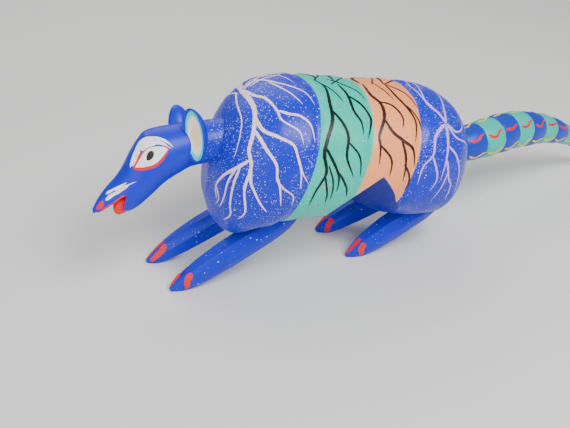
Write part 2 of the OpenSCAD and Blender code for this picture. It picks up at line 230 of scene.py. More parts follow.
def make_flecks() -> bpy.types.NodeTree:
    """Group for paint flicked off a brush: round dots of uneven size, some of them missing.

    Returns:
        The group. Its output is a mask that is 1 inside a dot.
    """
    tree = group("flecks", [("Place", VECTOR, 0), ("Scale", FLOAT, 700.0), ("Size", FLOAT, 0.3), ("Share", FLOAT, 0.5)],
                 [("Mask", FLOAT)])
    g = Graph(tree)
    enter, leave = tree.nodes["Group Input"].outputs, tree.nodes["Group Output"].inputs
    cells = g.node("ShaderNodeTexVoronoi", {"Vector": enter["Place"], "Scale": enter["Scale"], "Randomness": 1.0})
    chance = g.node("ShaderNodeSeparateColor", {0: cells.outputs["Color"]})
    size = g.math("MULTIPLY", enter["Size"], g.math("ADD", 0.45, g.math("MULTIPLY", chance.outputs[1], 0.75)))
    inside = g.math("SUBTRACT", size, cells.outputs["Distance"])
    dot = g.ramp(g.math("DIVIDE", inside, size), 0.0, 0.25)
    g.feed(leave["Mask"], g.math("MULTIPLY", dot, g.math("LESS_THAN", chance.outputs[0], enter["Share"])))
    return tree


@dataclass
class Groups:
    """The node groups that several finishes share, each built once."""

    brushwork: bpy.types.NodeTree = field(default_factory=make_brushwork)
    flecks: bpy.types.NodeTree = field(default_factory=make_flecks)


@dataclass
class Finish:
    """One painted finish while its nodes are laid out."""

    name: str
    groups: Groups
    roughness: float = 0.4
    drift: float = 0.12
    relief: float = 0.25

    def __post_init__(self) -> None:
        """Start the material with its shader and the brushwork that all paint shares."""
        self.material = bpy.data.materials.new(self.name)
        self.material.use_nodes = True
        self.g = Graph(self.material.node_tree)
        self.shader = self.material.node_tree.nodes["Principled BSDF"]
        self.place = self.g.node("ShaderNodeTexCoord").outputs["Object"]
        self.brush = self.g.node("ShaderNodeGroup", node_tree=self.groups.brushwork)
        for label, value in (("Place", self.place), ("Roughness", self.roughness), ("Drift", self.drift)):
            self.g.feed(self.brush.inputs[label], value)

    def flecks(self, colour: object, paint: Paint, scale: float, size: float, share: object,
               shift: float = 0.0) -> bpy.types.NodeSocket:
        """Scatter dots of one paint over a colour.

        Args:
            colour: The colour underneath.
            paint: The dots' colour.
            scale: Cells per metre.
            size: A dot's largest radius, as a share of a cell.
            share: Share of the cells that hold a dot, or a socket that gives it.
            shift: Moves the cells, so that two layers differ.

        Returns:
            The speckled colour.
        """
        place = self.g.node("ShaderNodeVectorMath", {0: self.place, 1: (shift, shift * 0.7, shift * 1.3)}).outputs[0]
        dots = self.g.node("ShaderNodeGroup", node_tree=self.groups.flecks)
        for label, value in (("Place", place), ("Scale", scale), ("Size", size), ("Share", share)):
            self.g.feed(dots.inputs[label], value)
        return self.g.mix(dots.outputs[0], colour, paint.rgba)

    def close(self, colour: object, height: object | None = None, coat: float = 0.06) -> bpy.types.Material:
        """Finish the material: tone, sheen and relief go to the shader.

        Args:
            colour: The paint's colour before its tone drifts.
            height: Extra relief, added to the bristle marks.
            coat: Weight of the thin clear gloss that satin acrylic dries with.

        Returns:
            The material.
        """
        g, shader = self.g, self.shader
        tone = self.brush.outputs["Tone"]
        grey = g.node("ShaderNodeCombineColor", {0: tone, 1: tone, 2: tone}).outputs[0]
        g.feed(shader.inputs["Base Color"], g.mix(1.0, colour, grey, "MULTIPLY"))
        g.feed(shader.inputs["Roughness"], self.brush.outputs["Roughness"])
        total = self.brush.outputs["Height"]
        if height is not None:
            total = g.math("ADD", total, height)
        bump = g.node("ShaderNodeBump", {"Strength": self.relief, "Distance": 0.0002, "Height": total})
        g.feed(shader.inputs["Normal"], bump.outputs[0])
        shader.inputs["Coat Weight"].default_value = coat
        shader.inputs["Coat Roughness"].default_value = 0.35
        shader.inputs["Specular IOR Level"].default_value = 0.3
        return self.material


def plain_paint(name: str, paint: Paint, groups: Groups,
                roughness: float = 0.42, drift: float = 0.16) -> bpy.types.Material:
    """Make the finish of a brushed line or spot of one colour.

    Args:
        name: The material's name.
        paint: Its colour.
        groups: The shared node groups.
        roughness: Mean roughness.
        drift: How far the tone drifts.

    Returns:
        The material.
    """
    finish = Finish(name, groups, roughness, drift)
    return finish.close(paint.rgba)


# --------------------------------------------------------------------------- surfaces


def smooth(table: Array, at: Array) -> Array:
    """Read a table of stations with a cubic that never overshoots a peak.

    Each inner slope is the harmonic mean of the two chords beside it, or zero at a peak,
    and between stations the value is the cubic Hermite curve.

    Args:
        table: Rows of a station and its values, in rising order of the station.
        at: Stations to read, of any shape.

    Returns:
        The values, with one more axis than `at`.
    """
    x, y = table[:, 0], table[:, 1:]
    chord = np.diff(y, axis=0) / np.diff(x)[:, None]
    before, after = chord[:-1], chord[1:]
    total = np.where(before + after == 0, 1, before + after)
    slope = np.concatenate([chord[:1], np.where(before * after > 0, 2 * before * after / total, 0), chord[-1:]])
    at = np.clip(at, x[0], x[-1])
    i = np.clip(np.searchsorted(x, at, side="right") - 1, 0, len(x) - 2)
    h = (x[i + 1] - x[i])[..., None]
    u = (at - x[i])[..., None] / h
    return ((2 * u**3 - 3 * u**2 + 1) * y[i] + (u**3 - 2 * u**2 + u) * h * slope[i]
            + (3 * u**2 - 2 * u**3) * y[i + 1] + (u**3 - u**2) * h * slope[i + 1])


def turned(points: Array, axis: int, degrees: float) -> Array:
    """Turn points about a row axis by the right-hand rule.

    Args:
        points: Points in the last axis.
        axis: 0, 1 or 2 for X, Y or Z.
        degrees: The angle.

    Returns:
        The turned points.
    """
    c, s = math.cos(math.radians(degrees)), math.sin(math.radians(degrees))
    j, k = (axis + 1) % 3, (axis + 2) % 3
    out = points.copy()
    out[..., j] = c * points[..., j] - s * points[..., k]
    out[..., k] = s * points[..., j] + c * points[..., k]
    return out


def section(angle: Array, squareness: float) -> tuple[Array, Array]:
    """Unit superellipse: sideways and upward parts at angles in degrees from the top."""
    s, c = np.sin(np.radians(angle)), np.cos(np.radians(angle))
    power = 2 / squareness
    return np.sign(s) * np.abs(s)**power, np.sign(c) * np.abs(c)**power


def unit(vectors: Array) -> Array:
    """Scale vectors to length one."""
    return vectors / np.maximum(np.linalg.norm(vectors, axis=-1, keepdims=True), 1e-12)


def outward(surface: Surface, along: Array, round_: Array) -> Array:
    """Normal of a surface, from central differences of its two parameters.

    Args:
        surface: The surface.
        along: First parameter.
        round_: Second parameter, in degrees or millimetres.

    Returns:
        Unit normals, outward for a surface whose parameters turn that way.
    """
    da, dr = 0.002, 0.5
    run = surface(along + da, round_) - surface(along - da, round_)
    turn = surface(along, round_ + dr) - surface(along, round_ - dr)
    return unit(np.cross(run, turn))


def curve_through(points: Array, count: int) -> Array:
    """Catmull-Rom curve through points, at even steps of their chord length.

    Args:
        points: Control points, one per row.
        count: Number of points wanted.

    Returns:
        Points on the curve.
    """
    padded = np.vstack([2 * points[0] - points[1], points, 2 * points[-1] - points[-2]])
    knots = np.concatenate([[0], np.cumsum(np.linalg.norm(np.diff(points, axis=0), axis=1))])
    place = np.interp(np.linspace(0, knots[-1], count), knots, np.arange(len(points)))
    i = np.minimum(place.astype(int), len(points) - 2)
    u = (place - i)[:, None]
    a, b, c, d = (padded[i + k] for k in range(4))
    return 0.5 * (2 * b + (c - a) * u + (2 * a - 5 * b + 4 * c - d) * u**2 + (3 * b - a - 3 * c + d) * u**3)


# --------------------------------------------------------------------------- meshes


@dataclass
class Soup:
    """Collects closed shells and turns them into one mesh."""

    points: list[Array] = field(default_factory=list)
    faces: list[list[int]] = field(default_factory=list)
    uvs: list[Array] = field(default_factory=list)
    count: int = 0

    def add_rings(self, rings: Array, uv: Array | None = None) -> None:
        """Add a tube that is closed at both ends by a point in the middle of its end ring.

        Args:
            rings: Points, as rings by points round a ring by three.
            uv: Two values for each point, in the same layout.
        """
        rows, cols = rings.shape[:2]
        base = self.count
        index = base + np.arange(rows * cols).reshape(rows, cols)
        wrap = np.roll(index, -1, axis=1)
        quads = np.stack([index[:-1], wrap[:-1], wrap[1:], index[1:]], -1).reshape(-1, 4)
        first, last = base + rows * cols, base + rows * cols + 1
        self.faces += quads.tolist()
        self.faces += np.stack([np.full(cols, first), wrap[0], index[0]], -1).tolist()
        self.faces += np.stack([np.full(cols, last), index[-1], wrap[-1]], -1).tolist()
        ends = np.stack([rings[0].mean(0), rings[-1].mean(0)])
        self.points += [rings.reshape(-1, 3), ends]
        if uv is None:
            uv = np.zeros((rows, cols, 2))
        self.uvs += [uv.reshape(-1, 2), np.stack([uv[0].mean(0), uv[-1].mean(0)])]
        self.count += rows * cols + 2

    def build(self, name: str, materials: Iterable[bpy.types.Material], sharp: float = 40.0) -> bpy.types.Object:
        """Make the mesh and its object, at the origin, in metres.

        Args:
            name: The piece's name.
            materials: Its material slots.
            sharp: Edges that turn by more than these degrees stay crisp.

        Returns:
            The object, linked to the scene.
        """
        mesh = bpy.data.meshes.new(name)
        mesh.from_pydata((np.concatenate(self.points) * MM).tolist(), [], self.faces)
        layer = mesh.uv_layers.new(name="surface")
        corner = np.empty(len(mesh.loops), np.int64)
        mesh.loops.foreach_get("vertex_index", corner)
        layer.data.foreach_set("uv", np.concatenate(self.uvs)[corner].ravel().astype(np.float32))
        return dress(mesh, name, materials, sharp)


def dress(mesh: bpy.types.Mesh, name: str, materials: Iterable[bpy.types.Material], sharp: float) -> bpy.types.Object:
    """Smooth a mesh, give it its materials and link its object."""
    mesh.validate()
    mesh.polygons.foreach_set("use_smooth", np.ones(len(mesh.polygons), bool))
    mesh.set_sharp_from_angle(angle=math.radians(sharp))
    if not mesh.materials:
        for material in materials:
            mesh.materials.append(material)
    made = bpy.data.objects.new(name, mesh)
    bpy.context.scene.collection.objects.link(made)
    log.info("%s: %d faces", name, len(mesh.polygons))
    return made


def prism(outline: Sequence[tuple[float, float]], half_length: float) -> Array:
    """Straight bar along X with the given outline in Y and Z.

    Args:
        outline: Corners as (y, z), anticlockwise when seen from +X.
        half_length: Half the bar's length.

    Returns:
        Two rings of points.
    """
    corners = np.array(outline)
    return np.stack([np.column_stack([np.full(len(corners), x), corners]) for x in (-half_length, half_length)])


def rod(radius: float, low: float, high: float, sides: int = 64) -> Array:
    """Rings of a straight round bar along Z."""
    angle = np.linspace(0, 2 * np.pi, sides, endpoint=False)
    circle = np.column_stack([radius * np.cos(angle), radius * np.sin(angle)])
    return np.stack([np.column_stack([circle, np.full(sides, z)]) for z in (low, high)])


def carve(piece: bpy.types.Object, cutters: Sequence[tuple[Array, int]], sharp: float = 40.0) -> bpy.types.Object:
    """Cut closed bars out of a piece, and keep the cut faces' own material.

    Args:
        piece: The piece, which is replaced by its cut copy.
        cutters: For each bar its rings, and the material slot of the faces that it leaves.
        sharp: Edges that turn by more than these degrees stay crisp.

    Returns:
        The cut piece, under the same name.
    """
    materials = list(piece.data.materials)
    name = piece.name
    shelf = bpy.data.collections.new(name + "_cutters")
    for rings, slot in cutters:
        soup = Soup()
        soup.add_rings(rings)
        tool = soup.build(name + "_cutter", materials)
        tool.data.polygons.foreach_set("material_index", np.full(len(tool.data.polygons), slot, np.int32))
        bpy.context.scene.collection.objects.unlink(tool)
        shelf.objects.link(tool)
    modifier = piece.modifiers.new("cut", "BOOLEAN")
    modifier.operation, modifier.solver, modifier.operand_type = "DIFFERENCE", "EXACT", "COLLECTION"
    modifier.material_mode = "TRANSFER"
    modifier.collection = shelf
    graph = bpy.context.evaluated_depsgraph_get()
    mesh = bpy.data.meshes.new_from_object(piece.evaluated_get(graph))
    for used in [*shelf.objects, piece]:
        bpy.data.objects.remove(used, do_unlink=True)
    bpy.data.collections.remove(shelf)
    mesh.name = name
    return dress(mesh, name, materials, sharp)


# --------------------------------------------------------------------------- brush strokes


@dataclass(frozen=True)
class Stroke:
    """A brushed line: points on a surface, its width at the start and the end, in millimetres."""

    path: tuple[tuple[float, float], ...]
    start: float = 1.2
    end: float = 0.35
    belly: float = 0.0

    def width(self, share: Array) -> Array:
        """Width along the line: it tapers from start to end, swells by belly, and is pointed at both ends."""
        body = self.start + (self.end - self.start) * share + self.belly * np.sin(np.pi * share)
        return body * (1 - np.exp(-share / 0.03)) * (1 - np.exp(-(1 - share) / 0.05))


def lay_stroke(soup: Soup, surface: Surface, stroke: Stroke, scale: tuple[float, float] = (1.0, 1.0),
               lift: float = 0.09, sink: float = 0.12) -> None:
    """Lay one brushed line on a surface as a closed ribbon with a crowned top.

    Its section is a flat arc, sin-shaped in height, whose foot lies under the surface.

    Args:
        soup: Takes the ribbon.
        surface: The surface that it follows.
        stroke: The line.
        scale: Millimetres per unit of each surface parameter, to space the points evenly.
        lift: Height of the paint's crown over the surface.
        sink: Depth of its foot under the surface.
    """
    control = np.array(stroke.path) * scale
    length = np.linalg.norm(np.diff(control, axis=0), axis=1).sum()
    steps = int(np.clip(length / 0.45, 14, 150))
    path = curve_through(control, steps) / scale
    spine = surface(path[:, 0], path[:, 1])
    normal = outward(surface, path[:, 0], path[:, 1])
    ahead = unit(np.gradient(spine, axis=0))
    side = unit(np.cross(normal, ahead))
    share = np.linspace(0.004, 0.996, steps)
    wobble = 1 + 0.07 * np.sin(share * length * 1.9 + control[0].sum()) + 0.05 * np.sin(share * length * 4.3)
    half = np.maximum(stroke.width(share) * wobble, 0.08) / 2
    turn = np.linspace(0, np.pi, 9)
    across, crown = np.cos(turn), np.sin(turn)
    height = -sink + (lift + sink) * crown**0.6 * np.clip(half / 0.25, 0.55, 1)[:, None]
    ring = spine[:, None] + side[:, None] * (across * half[:, None])[..., None] + normal[:, None] * height[..., None]
    soup.add_rings(ring)


def lay_patch(soup: Soup, surface: Surface, outline: Array, lift: float = 0.06, sink: float = 0.2,
              rings: int = 10) -> None:
    """Lay a filled spot of paint on a surface, as a thin closed blister.

    Points run from the middle of the outline to its edge in even shares, a little above the surface,
    and the edge turns down under it.

    Args:
        soup: Takes the patch.
        surface: The surface that it follows.
        outline: Closed outline in the surface's own two parameters.
        lift: Height over the surface.
        sink: Depth of the edge under the surface.
        rings: Number of rings between the middle and the edge.
    """
    middle = outline.mean(0)
    share = np.append(np.linspace(0.04, 1, rings), 1.0)[:, None, None]
    flat = middle + (outline - middle) * share
    height = np.append(np.full(rings - 1, lift), (0.3 * lift, -sink))[:, None, None]
    points = surface(flat[..., 0], flat[..., 1]) + outward(surface, flat[..., 0], flat[..., 1]) * height
    soup.add_rings(points[:, ::-1])


def strokes(name: str, surface: Surface, lines: Iterable[Stroke], material: bpy.types.Material,
            scale: tuple[float, float] = (1.0, 1.0), lift: float = 0.09) -> bpy.types.Object:
    """Lay several brushed lines on one surface and make them one piece."""
    soup = Soup()
    for line in lines:
        lay_stroke(soup, surface, line, scale, lift)
    return soup.build(name, [material], 60.0)


def belongs(piece: bpy.types.Object, body: str, slot: str, *nodes: str) -> bpy.types.Object:
    """Make a piece ride on a body and hide the CAD nodes that it stands for."""
    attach(piece, body)
    if nodes:
        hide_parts(*nodes)
    return piece


# --------------------------------------------------------------------------- set-out


@dataclass(frozen=True)
class SetOut:
    """Where the pieces' own frame lies in the row frame: its Y starts at a fixed place behind the snout."""

    snout_ahead: float = 76.0
    neck_seat_y: float = -16.0
    neck_z: float = 61.5
    head_tilt: float = 25.0
    tail_seat_y: float = 79.0
    tail_z: float = 40.0
    tail_yaw: float = 8.0

    @property
    def start_y(self) -> float:
        """The row's Y of the set-out frame's zero, from where the CAD snout lies."""
        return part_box("head")[0].y / MM + self.snout_ahead

    def place(self, points: Array) -> Array:
        """Move points from the set-out frame to the row frame."""
        return points + np.array([0.0, self.start_y, 0.0])

    def head(self, points: Array) -> Array:
        """Place points of the head's frame: X left, Y back from the neck's seat, Z up, before the tilt."""
        return self.place(turned(points, 1, -self.head_tilt) + np.array([0.0, self.neck_seat_y, self.neck_z]))

    def tail(self, points: Array) -> Array:
        """Place points of the tail's frame: Y out of the rump, Z up."""
        return self.place(turned(points, 2, self.tail_yaw) + np.array([0.0, self.tail_seat_y, self.tail_z]))


# --------------------------------------------------------------------------- trunk


@dataclass
class Trunk:
    """The trunk, with its grooved bands, flank cuts, sockets and painted roots."""

    setout: SetOut
    groups: Groups
    length: float = 113.0
    width: float = 63.0
    height: float = 66.0
    axis_z: float = 46.0
    mid_y: float = 27.0
    pitch: float = 8.0
    squareness: float = 2.2
    groove_depth: float = 0.8
    groove_half: float = 0.02
    band_edges: tuple[float, ...] = (0.285, 0.488, 0.677)
    band_lean: float = 11.5
    rows: int = 220
    sides: int = 220

    stations = np.array([
        [0.00, 0.06, -0.46, 0.16], [0.04, 0.46, -0.82, 0.58], [0.10, 0.76, -0.94, 0.82],
        [0.20, 0.97, -0.84, 0.95], [0.32, 1.01, -0.72, 1.00], [0.44, 0.98, -0.70, 0.99],
        [0.56, 0.96, -0.70, 0.97], [0.66, 0.95, -0.71, 0.96], [0.78, 0.93, -0.76, 0.94],
        [0.89, 0.82, -0.77, 0.84], [0.96, 0.61, -0.61, 0.62], [1.00, 0.32, -0.32, 0.33],
    ])

    def local(self, share: Array, angle: Array) -> Array:
        """Surface in the trunk's own frame.

        At a share of the length the section is a superellipse, pulled in at the grooves by a bell curve
        and made slightly lumpy, as a knife leaves it, by a sum of slow waves.

        Args:
            share: Share of the length from the chest.
            angle: Degrees from the top, growing towards the animal's left.

        Returns:
            Points in millimetres.
        """
        share, angle = np.broadcast_arrays(np.asarray(share, float), np.asarray(angle, float))
        top, bottom, side = np.moveaxis(smooth(self.stations, share), -1, 0)
        top, bottom, side = top * self.height / 2, bottom * self.height / 2, side * self.width / 2
        sideways, upward = section(angle, self.squareness)
        middle, half = (top + bottom) / 2, (top - bottom) / 2
        lean = half * upward * math.tan(math.radians(self.band_lean)) / self.length
        groove = np.max([np.exp(-((share - e - lean) / self.groove_half)**2) for e in self.band_edges], axis=0)
        turn = np.radians(angle)
        waves = ((3, 14, 0), (5, -23, 1), (8, 31, 2))
        lump = sum(np.sin(around * turn + along * share + start) for around, along, start in waves) * 0.11
        calm = np.clip(np.minimum(share, 1 - share) / 0.08, 0, 1)
        pull = 1 - (self.groove_depth * groove - lump * calm) / half
        return np.stack([side * sideways * pull, (share - 0.5) * self.length, middle + half * upward * pull], -1)

    def surface(self, share: Array, angle: Array) -> Array:
        """The same surface in the row frame."""
        return self.placed(self.local(share, angle))

    def placed(self, points: Array) -> Array:
        """Move points from the trunk's own frame to the row frame."""
        return self.setout.place(turned(points, 0, -self.pitch) + np.array([0.0, self.mid_y, self.axis_z]))

    def under(self, share: float, x: float) -> float:
        """Height of the underside in the trunk's own frame, before its grooves."""
        top, bottom, side = smooth(self.stations, np.array(share))
        middle, half = (top + bottom) * self.height / 4, (top - bottom) * self.height / 4
        return middle - half * (1 - (x / (side * self.width / 2))**self.squareness)**(1 / self.squareness)

    def build(self) -> bpy.types.Object:
        """Make the trunk, cut its flanks, seats and sockets, and paint it."""
        even = np.linspace(0, 1, self.rows)
        share = 0.65 * even + 0.35 * (1 - np.cos(np.pi * even)) / 2
        angle = np.linspace(0, 360, self.sides, endpoint=False)
        grid = self.surface(share[:, None], angle[None, :])
        ends = [grid[0].mean(0), grid[-1].mean(0)]
        shrink = np.linspace(0.15, 0.92, 8)[:, None, None]
        front = ends[0] + (grid[0] - ends[0]) * shrink
        back = ends[1] + (grid[-1] - ends[1]) * shrink[::-1]
        soup = Soup()
        soup.add_rings(np.concatenate([front, grid, back]))
        body = soup.build("trunk_paint", [self.banded(), self.knife_lines_and_shade(), bare_wood(self.groups)])
        return carve(body, self.cutters())

    def cutters(self) -> list[tuple[Array, int]]:
        """Bars that the knife, the saw and the drill take out: flanks, leg seats, neck and tail sockets."""
        out: list[tuple[Array, int]] = []
        keel = self.under(0.6, 0.0)
        for side in (-1, 1):
            far = 60.0
            wedge = [(0.0, 0.0), (-far * cosd(22), -far * sind(22)), (far * cosd(47), -far * sind(47))]
            bar = turned(prism(wedge, far), 1, -side * 43.0)
            out.append((self.setout.place(bar + np.array([side * self.width / 2, 35.5, self.axis_z + keel + 28.5])), 1))
        for leg in LEG_PLACES:
            out.append((leg.seat(self, rod(15.0, 0.0, 15.0, 96)), 1))
            out.append((leg.seat(self, rod(2.05, -10.0, 1.0)), 2))
        s = self.setout
        neck = turned(rod(8.45, 0.0, 60.0, 96), 0, 90.0)
        tenon = turned(rod(4.55, -15.0, 1.0), 0, 90.0)
        centre = np.array([0.0, s.neck_seat_y, s.neck_z])
        out += [(s.place(neck + centre), 1), (s.place(tenon + centre), 2)]
        out += [(s.tail(turned(rod(7.8, 0.0, 60.0, 96), 0, -90.0)), 1),
                (s.tail(turned(rod(3.05, -12.0, 1.0), 0, -90.0)), 2)]
        return out

    def band_share(self, finish: Finish) -> bpy.types.NodeSocket:
        """Nodes for the place along the leaning bands: a plane's height, with a hand's wobble.

        Args:
            finish: The finish that the nodes are added to.

        Returns:
            The share of the length at which a leaning plane through the point meets the axis.
        """
        g = finish.g
        c, s = cosd(self.pitch), sind(self.pitch)
        tilt = math.tan(math.radians(self.band_lean))
        across = np.array([0.0, c - tilt * s, -s - tilt * c]) / (self.length * MM)
        centre = self.placed(np.zeros(3)) * MM
        plane = g.node("ShaderNodeVectorMath", {0: finish.place, 1: tuple(across)}, operation="DOT_PRODUCT")
        wobble = g.math("MULTIPLY", g.math("SUBTRACT", g.noise(finish.place, 60.0, 2.0), 0.5), 0.014)
        return g.math("ADD", g.math("ADD", plane.outputs["Value"], 0.5 - float(across @ centre)), wobble)

    def banded(self) -> bpy.types.Material:
        """Blue, teal, peach and blue bands, flicked all over with white and a few warm dots."""
        finish = Finish("trunk_paint", self.groups, 0.36, 0.2)
        g = finish.g
        at = self.band_share(finish)
        edge = 0.0022
        colour = Paint.BLUE.rgba
        masks = [g.ramp(at, e - edge, e + edge) for e in self.band_edges]
        for mask, paint in zip(masks, (Paint.TEAL, Paint.PEACH, Paint.BLUE)):
            colour = g.mix(mask, colour, paint.rgba)
        blue = g.math("SUBTRACT", 1.0, g.math("SUBTRACT", masks[0], masks[2]), clamp=True)
        cloud = g.ramp(g.noise(finish.place, 45.0, 3.0), 0.35, 0.7, 0.25, 1.0)
        dense = g.math("MULTIPLY", g.math("ADD", 0.28, g.math("MULTIPLY", blue, 0.5)), cloud)
        mist = g.math("MULTIPLY", dense, g.math("MULTIPLY", blue, 0.9))
        colour = finish.flecks(colour, Paint.MIST, 1900.0, 0.34, mist)
        colour = finish.flecks(colour, Paint.WHITE, 1900.0, 0.25, g.math("MULTIPLY", dense, 0.75), 0.71)
        colour = finish.flecks(colour, Paint.WHITE, 1300.0, 0.24, g.math("MULTIPLY", dense, 0.6), 0.31)
        colour = finish.flecks(colour, Paint.RED, 620.0, 0.18, 0.09, 0.17)
        colour = finish.flecks(colour, Paint.WHITE, 620.0, 0.15, 0.2, 0.53)
        return finish.close(colour)

    def knife_lines_and_shade(self) -> bpy.types.Material:
        """Painted shade over the flat cuts: a darker blue, with the faint parallel lines that a knife leaves."""
        finish = Finish("knife_lines_and_shade_paint", self.groups, 0.5, 0.3, 0.5)
        g = finish.g
        lines = g.node("ShaderNodeTexWave", {"Vector": finish.place, "Scale": 170.0, "Distortion": 6.0,
                                             "Detail": 2.0, "Detail Scale": 2.0}, bands_direction="Y").outputs[1]
        # painted shade: darker blue on the cuts, lightened along the knife's lines
        colour = g.mix(g.math("MULTIPLY", lines, 0.35), Paint.SHADE_BLUE.rgba, Paint.BLUE.rgba)
        return finish.close(colour, g.math("MULTIPLY", lines, 0.6), 0.05)


def cosd(degrees: float) -> float:
    """Cosine of an angle in degrees."""
    return math.cos(math.radians(degrees))


def sind(degrees: float) -> float:
    """Sine of an angle in degrees."""
    return math.sin(math.radians(degrees))


def bare_wood(groups: Groups) -> bpy.types.Material:
    """Unpainted pale wood, with grain drawn out along the figure."""
    finish = Finish("bare_wood", groups, 0.6, 0.2, 0.4)
    g = finish.g
    long = g.node("ShaderNodeVectorMath", {0: finish.place, 1: (1.0, 0.08, 1.0)}, operation="MULTIPLY").outputs[0]
    grain = g.noise(long, 900.0, 4.0, 0.65)
    rings = g.noise(long, 160.0, 2.0)
    colour = g.mix(g.ramp(grain, 0.35, 0.7), Paint.BARE_WOOD.rgba, linear("9b7345"))
    colour = g.mix(g.ramp(rings, 0.4, 0.65, 0.0, 0.5), colour, linear("dbb885"))
    return finish.close(colour, grain, 0.0)


# --------------------------------------------------------------------------- legs


@dataclass(frozen=True)
class LegPlace:
    """Which leg it is, and where its seat and toe lie.

    The toe stands `reach` ahead of the seat, and the leg's axis passes `drop` under the seat.
    """

    name: str
    side: int
    seat_share: float
    length: float
    splay: float
    reach: float
    drop: float
    track: float = 23.0
    right_lead: float = 6.0
    inset: float = 1.5
    lean: float = 16.0

    def seat_at(self, trunk: Trunk) -> Array:
        """The left seat's middle in the trunk's own frame."""
        x = self.track / 2 - self.reach * math.tan(math.radians(self.splay))
        return np.array([x, (self.seat_share - 0.5) * trunk.length, trunk.under(self.seat_share, x) + self.inset])

    def seat(self, trunk: Trunk, points: Array) -> Array:
        """Place points of the seat's frame, whose Z runs out of the trunk's underside."""
        local = turned(turned(points, 1, self.side * self.lean), 0, 180.0)
        return trunk.placed(local + self.seat_at(trunk) * (self.side, 1, 1))

    def toe(self, trunk: Trunk) -> Array:
        """The toe's X and Y in the row frame."""
        lead = self.right_lead if self.side < 0 else 0.0
        return np.array([self.side * self.track / 2, trunk.placed(self.seat_at(trunk))[1] - self.reach - lead])

    def slope(self, trunk: Trunk, toe_z: float) -> float:
        """Slope of the leg in degrees: the rise from the toe's axis to just under the seat, over the reach."""
        rise = trunk.placed(self.seat_at(trunk))[2] - self.drop - toe_z
        return math.degrees(math.atan(rise * cosd(self.splay) / self.reach))


LEG_PLACES = (
    LegPlace("front_left", 1, 0.235, 62.0, 2.0, 44.0, 4.7), LegPlace("front_right", -1, 0.235, 62.0, 2.0, 44.0, 4.7),
    LegPlace("hind_left", 1, 0.85, 50.0, 5.0, 34.0, 1.8), LegPlace("hind_right", -1, 0.85, 50.0, 5.0, 34.0, 1.8),
)


@dataclass
class Leg:
    """One leg: a whittled stick with soft facets, pared flat under the paw and at its seat."""

    place: LegPlace
    trunk: Trunk
    paint: bpy.types.Material
    cut_shade_paint: bpy.types.Material
    claw_paint: bpy.types.Material
    wood: bpy.types.Material
    width: float = 11.2
    height: float = 11.6
    sole_cut: float = 1.8

    stations = np.array([
        [0.00, 0.14, 0.05, -0.42], [0.05, 0.38, 0.28, -0.66], [0.14, 0.66, 0.56, -0.84],
        [0.30, 0.90, 0.84, -0.94], [0.50, 1.00, 1.00, -0.98], [0.72, 0.98, 1.00, -0.96],
        [0.88, 0.86, 0.92, -0.84], [1.00, 0.50, 0.62, -0.50],
    ])

    def surface(self, share: Array, angle: Array) -> Array:
        """Surface of the leg in the row frame.

        The section is a superellipse, drawn in towards the flats of a seven-sided bar.

        Args:
            share: Share of the length from the toe.
            angle: Degrees from the top, growing towards the animal's left.

        Returns:
            Points in millimetres.
        """
        share, angle = np.broadcast_arrays(np.asarray(share, float), np.asarray(angle, float))
        side, top, bottom = np.moveaxis(smooth(self.stations, share), -1, 0)
        side, top, bottom = side * self.width / 2, top * self.height / 2, bottom * self.height / 2
        sideways, upward = section(angle, 2.3)
        facets = 7
        step = 360.0 / facets
        away = np.abs((angle - 34.0 * self.place.side + step / 2) % step - step / 2)
        flat = math.cos(math.pi / facets) / np.cos(np.radians(step / 2 - away))
        trim = 1 + 0.75 * (flat - 1) + 0.03
        middle, half = (top + bottom) / 2, (top - bottom) / 2
        points = np.stack([side * sideways * trim, share * self.place.length, middle + half * upward * trim], -1)
        lift = self.height * 0.257 - self.sole_cut
        stick = turned(points, 0, self.place.slope(self.trunk, lift))
        return turned(stick, 2, self.place.side * self.place.splay) + np.array([*self.place.toe(self.trunk), lift])

    def build(self) -> list[bpy.types.Object]:
        """Make the leg, its claws and its dowel."""
        name = self.place.name
        share = np.linspace(0, 1, 110)**1.25
        grid = self.surface(share[:, None], np.linspace(0, 360, 84, endpoint=False)[None, :])
        soup = Soup()
        soup.add_rings(grid)
        leg = soup.build(name + "_leg_paint", [self.paint, self.cut_shade_paint, self.wood], 50.0)
        floor = prism([(-200, -60), (200, -60), (200, 0), (-200, 0)], 60.0)
        trunk_side = self.place.seat(self.trunk, rod(60.0, -40.0, 0.05, 8))
        hole = self.place.seat(self.trunk, rod(2.05, -1.0, 5.0))
        # the pared sole and seat take the darker blue, painted shade under the paw and against the trunk
        leg = carve(leg, [(floor, 1), (trunk_side, 1), (hole, 2)], 50.0)
        pin = Soup()
        pin.add_rings(self.place.seat(self.trunk, rod(2.0, -9.7, 4.7, 40)))
        dowel = pin.build(name + "_pin", [self.wood], 40.0)
        claws = strokes(name + "_claws", self.surface, self.claws(), self.claw_paint, (self.place.length, 0.1), 0.12)
        return [belongs(leg, "figure", "painted_legs", name + "_leg"),
                belongs(dowel, "figure", "bare_dowel", name + "_dowel"),
                belongs(claws, "figure", "painted_legs")]

    def claws(self) -> list[Stroke]:
        """Red claw marks, drawn from the paw down to the toe."""
        crest, flank, end, turn = CLAWS[self.place.name]
        return [Stroke(((0.185, crest), (0.10, crest + 3), (0.01, crest + 8)), 2.0, 1.1, 0.3),
                Stroke(((0.19, flank - 22), (0.14, flank), (end + 0.02, flank + turn - 12), (end, flank + turn)),
                       2.6, 1.5, 0.4),
                Stroke(((0.17, -92.0), (0.12, -97.0), (0.07, -104.0)), 1.9, 0.9, 0.3)]


CLAWS = {  # angle of the crest stroke, angle of the flank stroke, share at which that one ends, and its turn
    "front_left": (-20.0, 60.0, 0.09, 52.0), "front_right": (-12.0, 46.0, 0.03, 34.0),
    "hind_left": (6.0, 68.0, 0.10, 44.0), "hind_right": (-18.0, 56.0, 0.07, 50.0),
}


# --------------------------------------------------------------------------- head


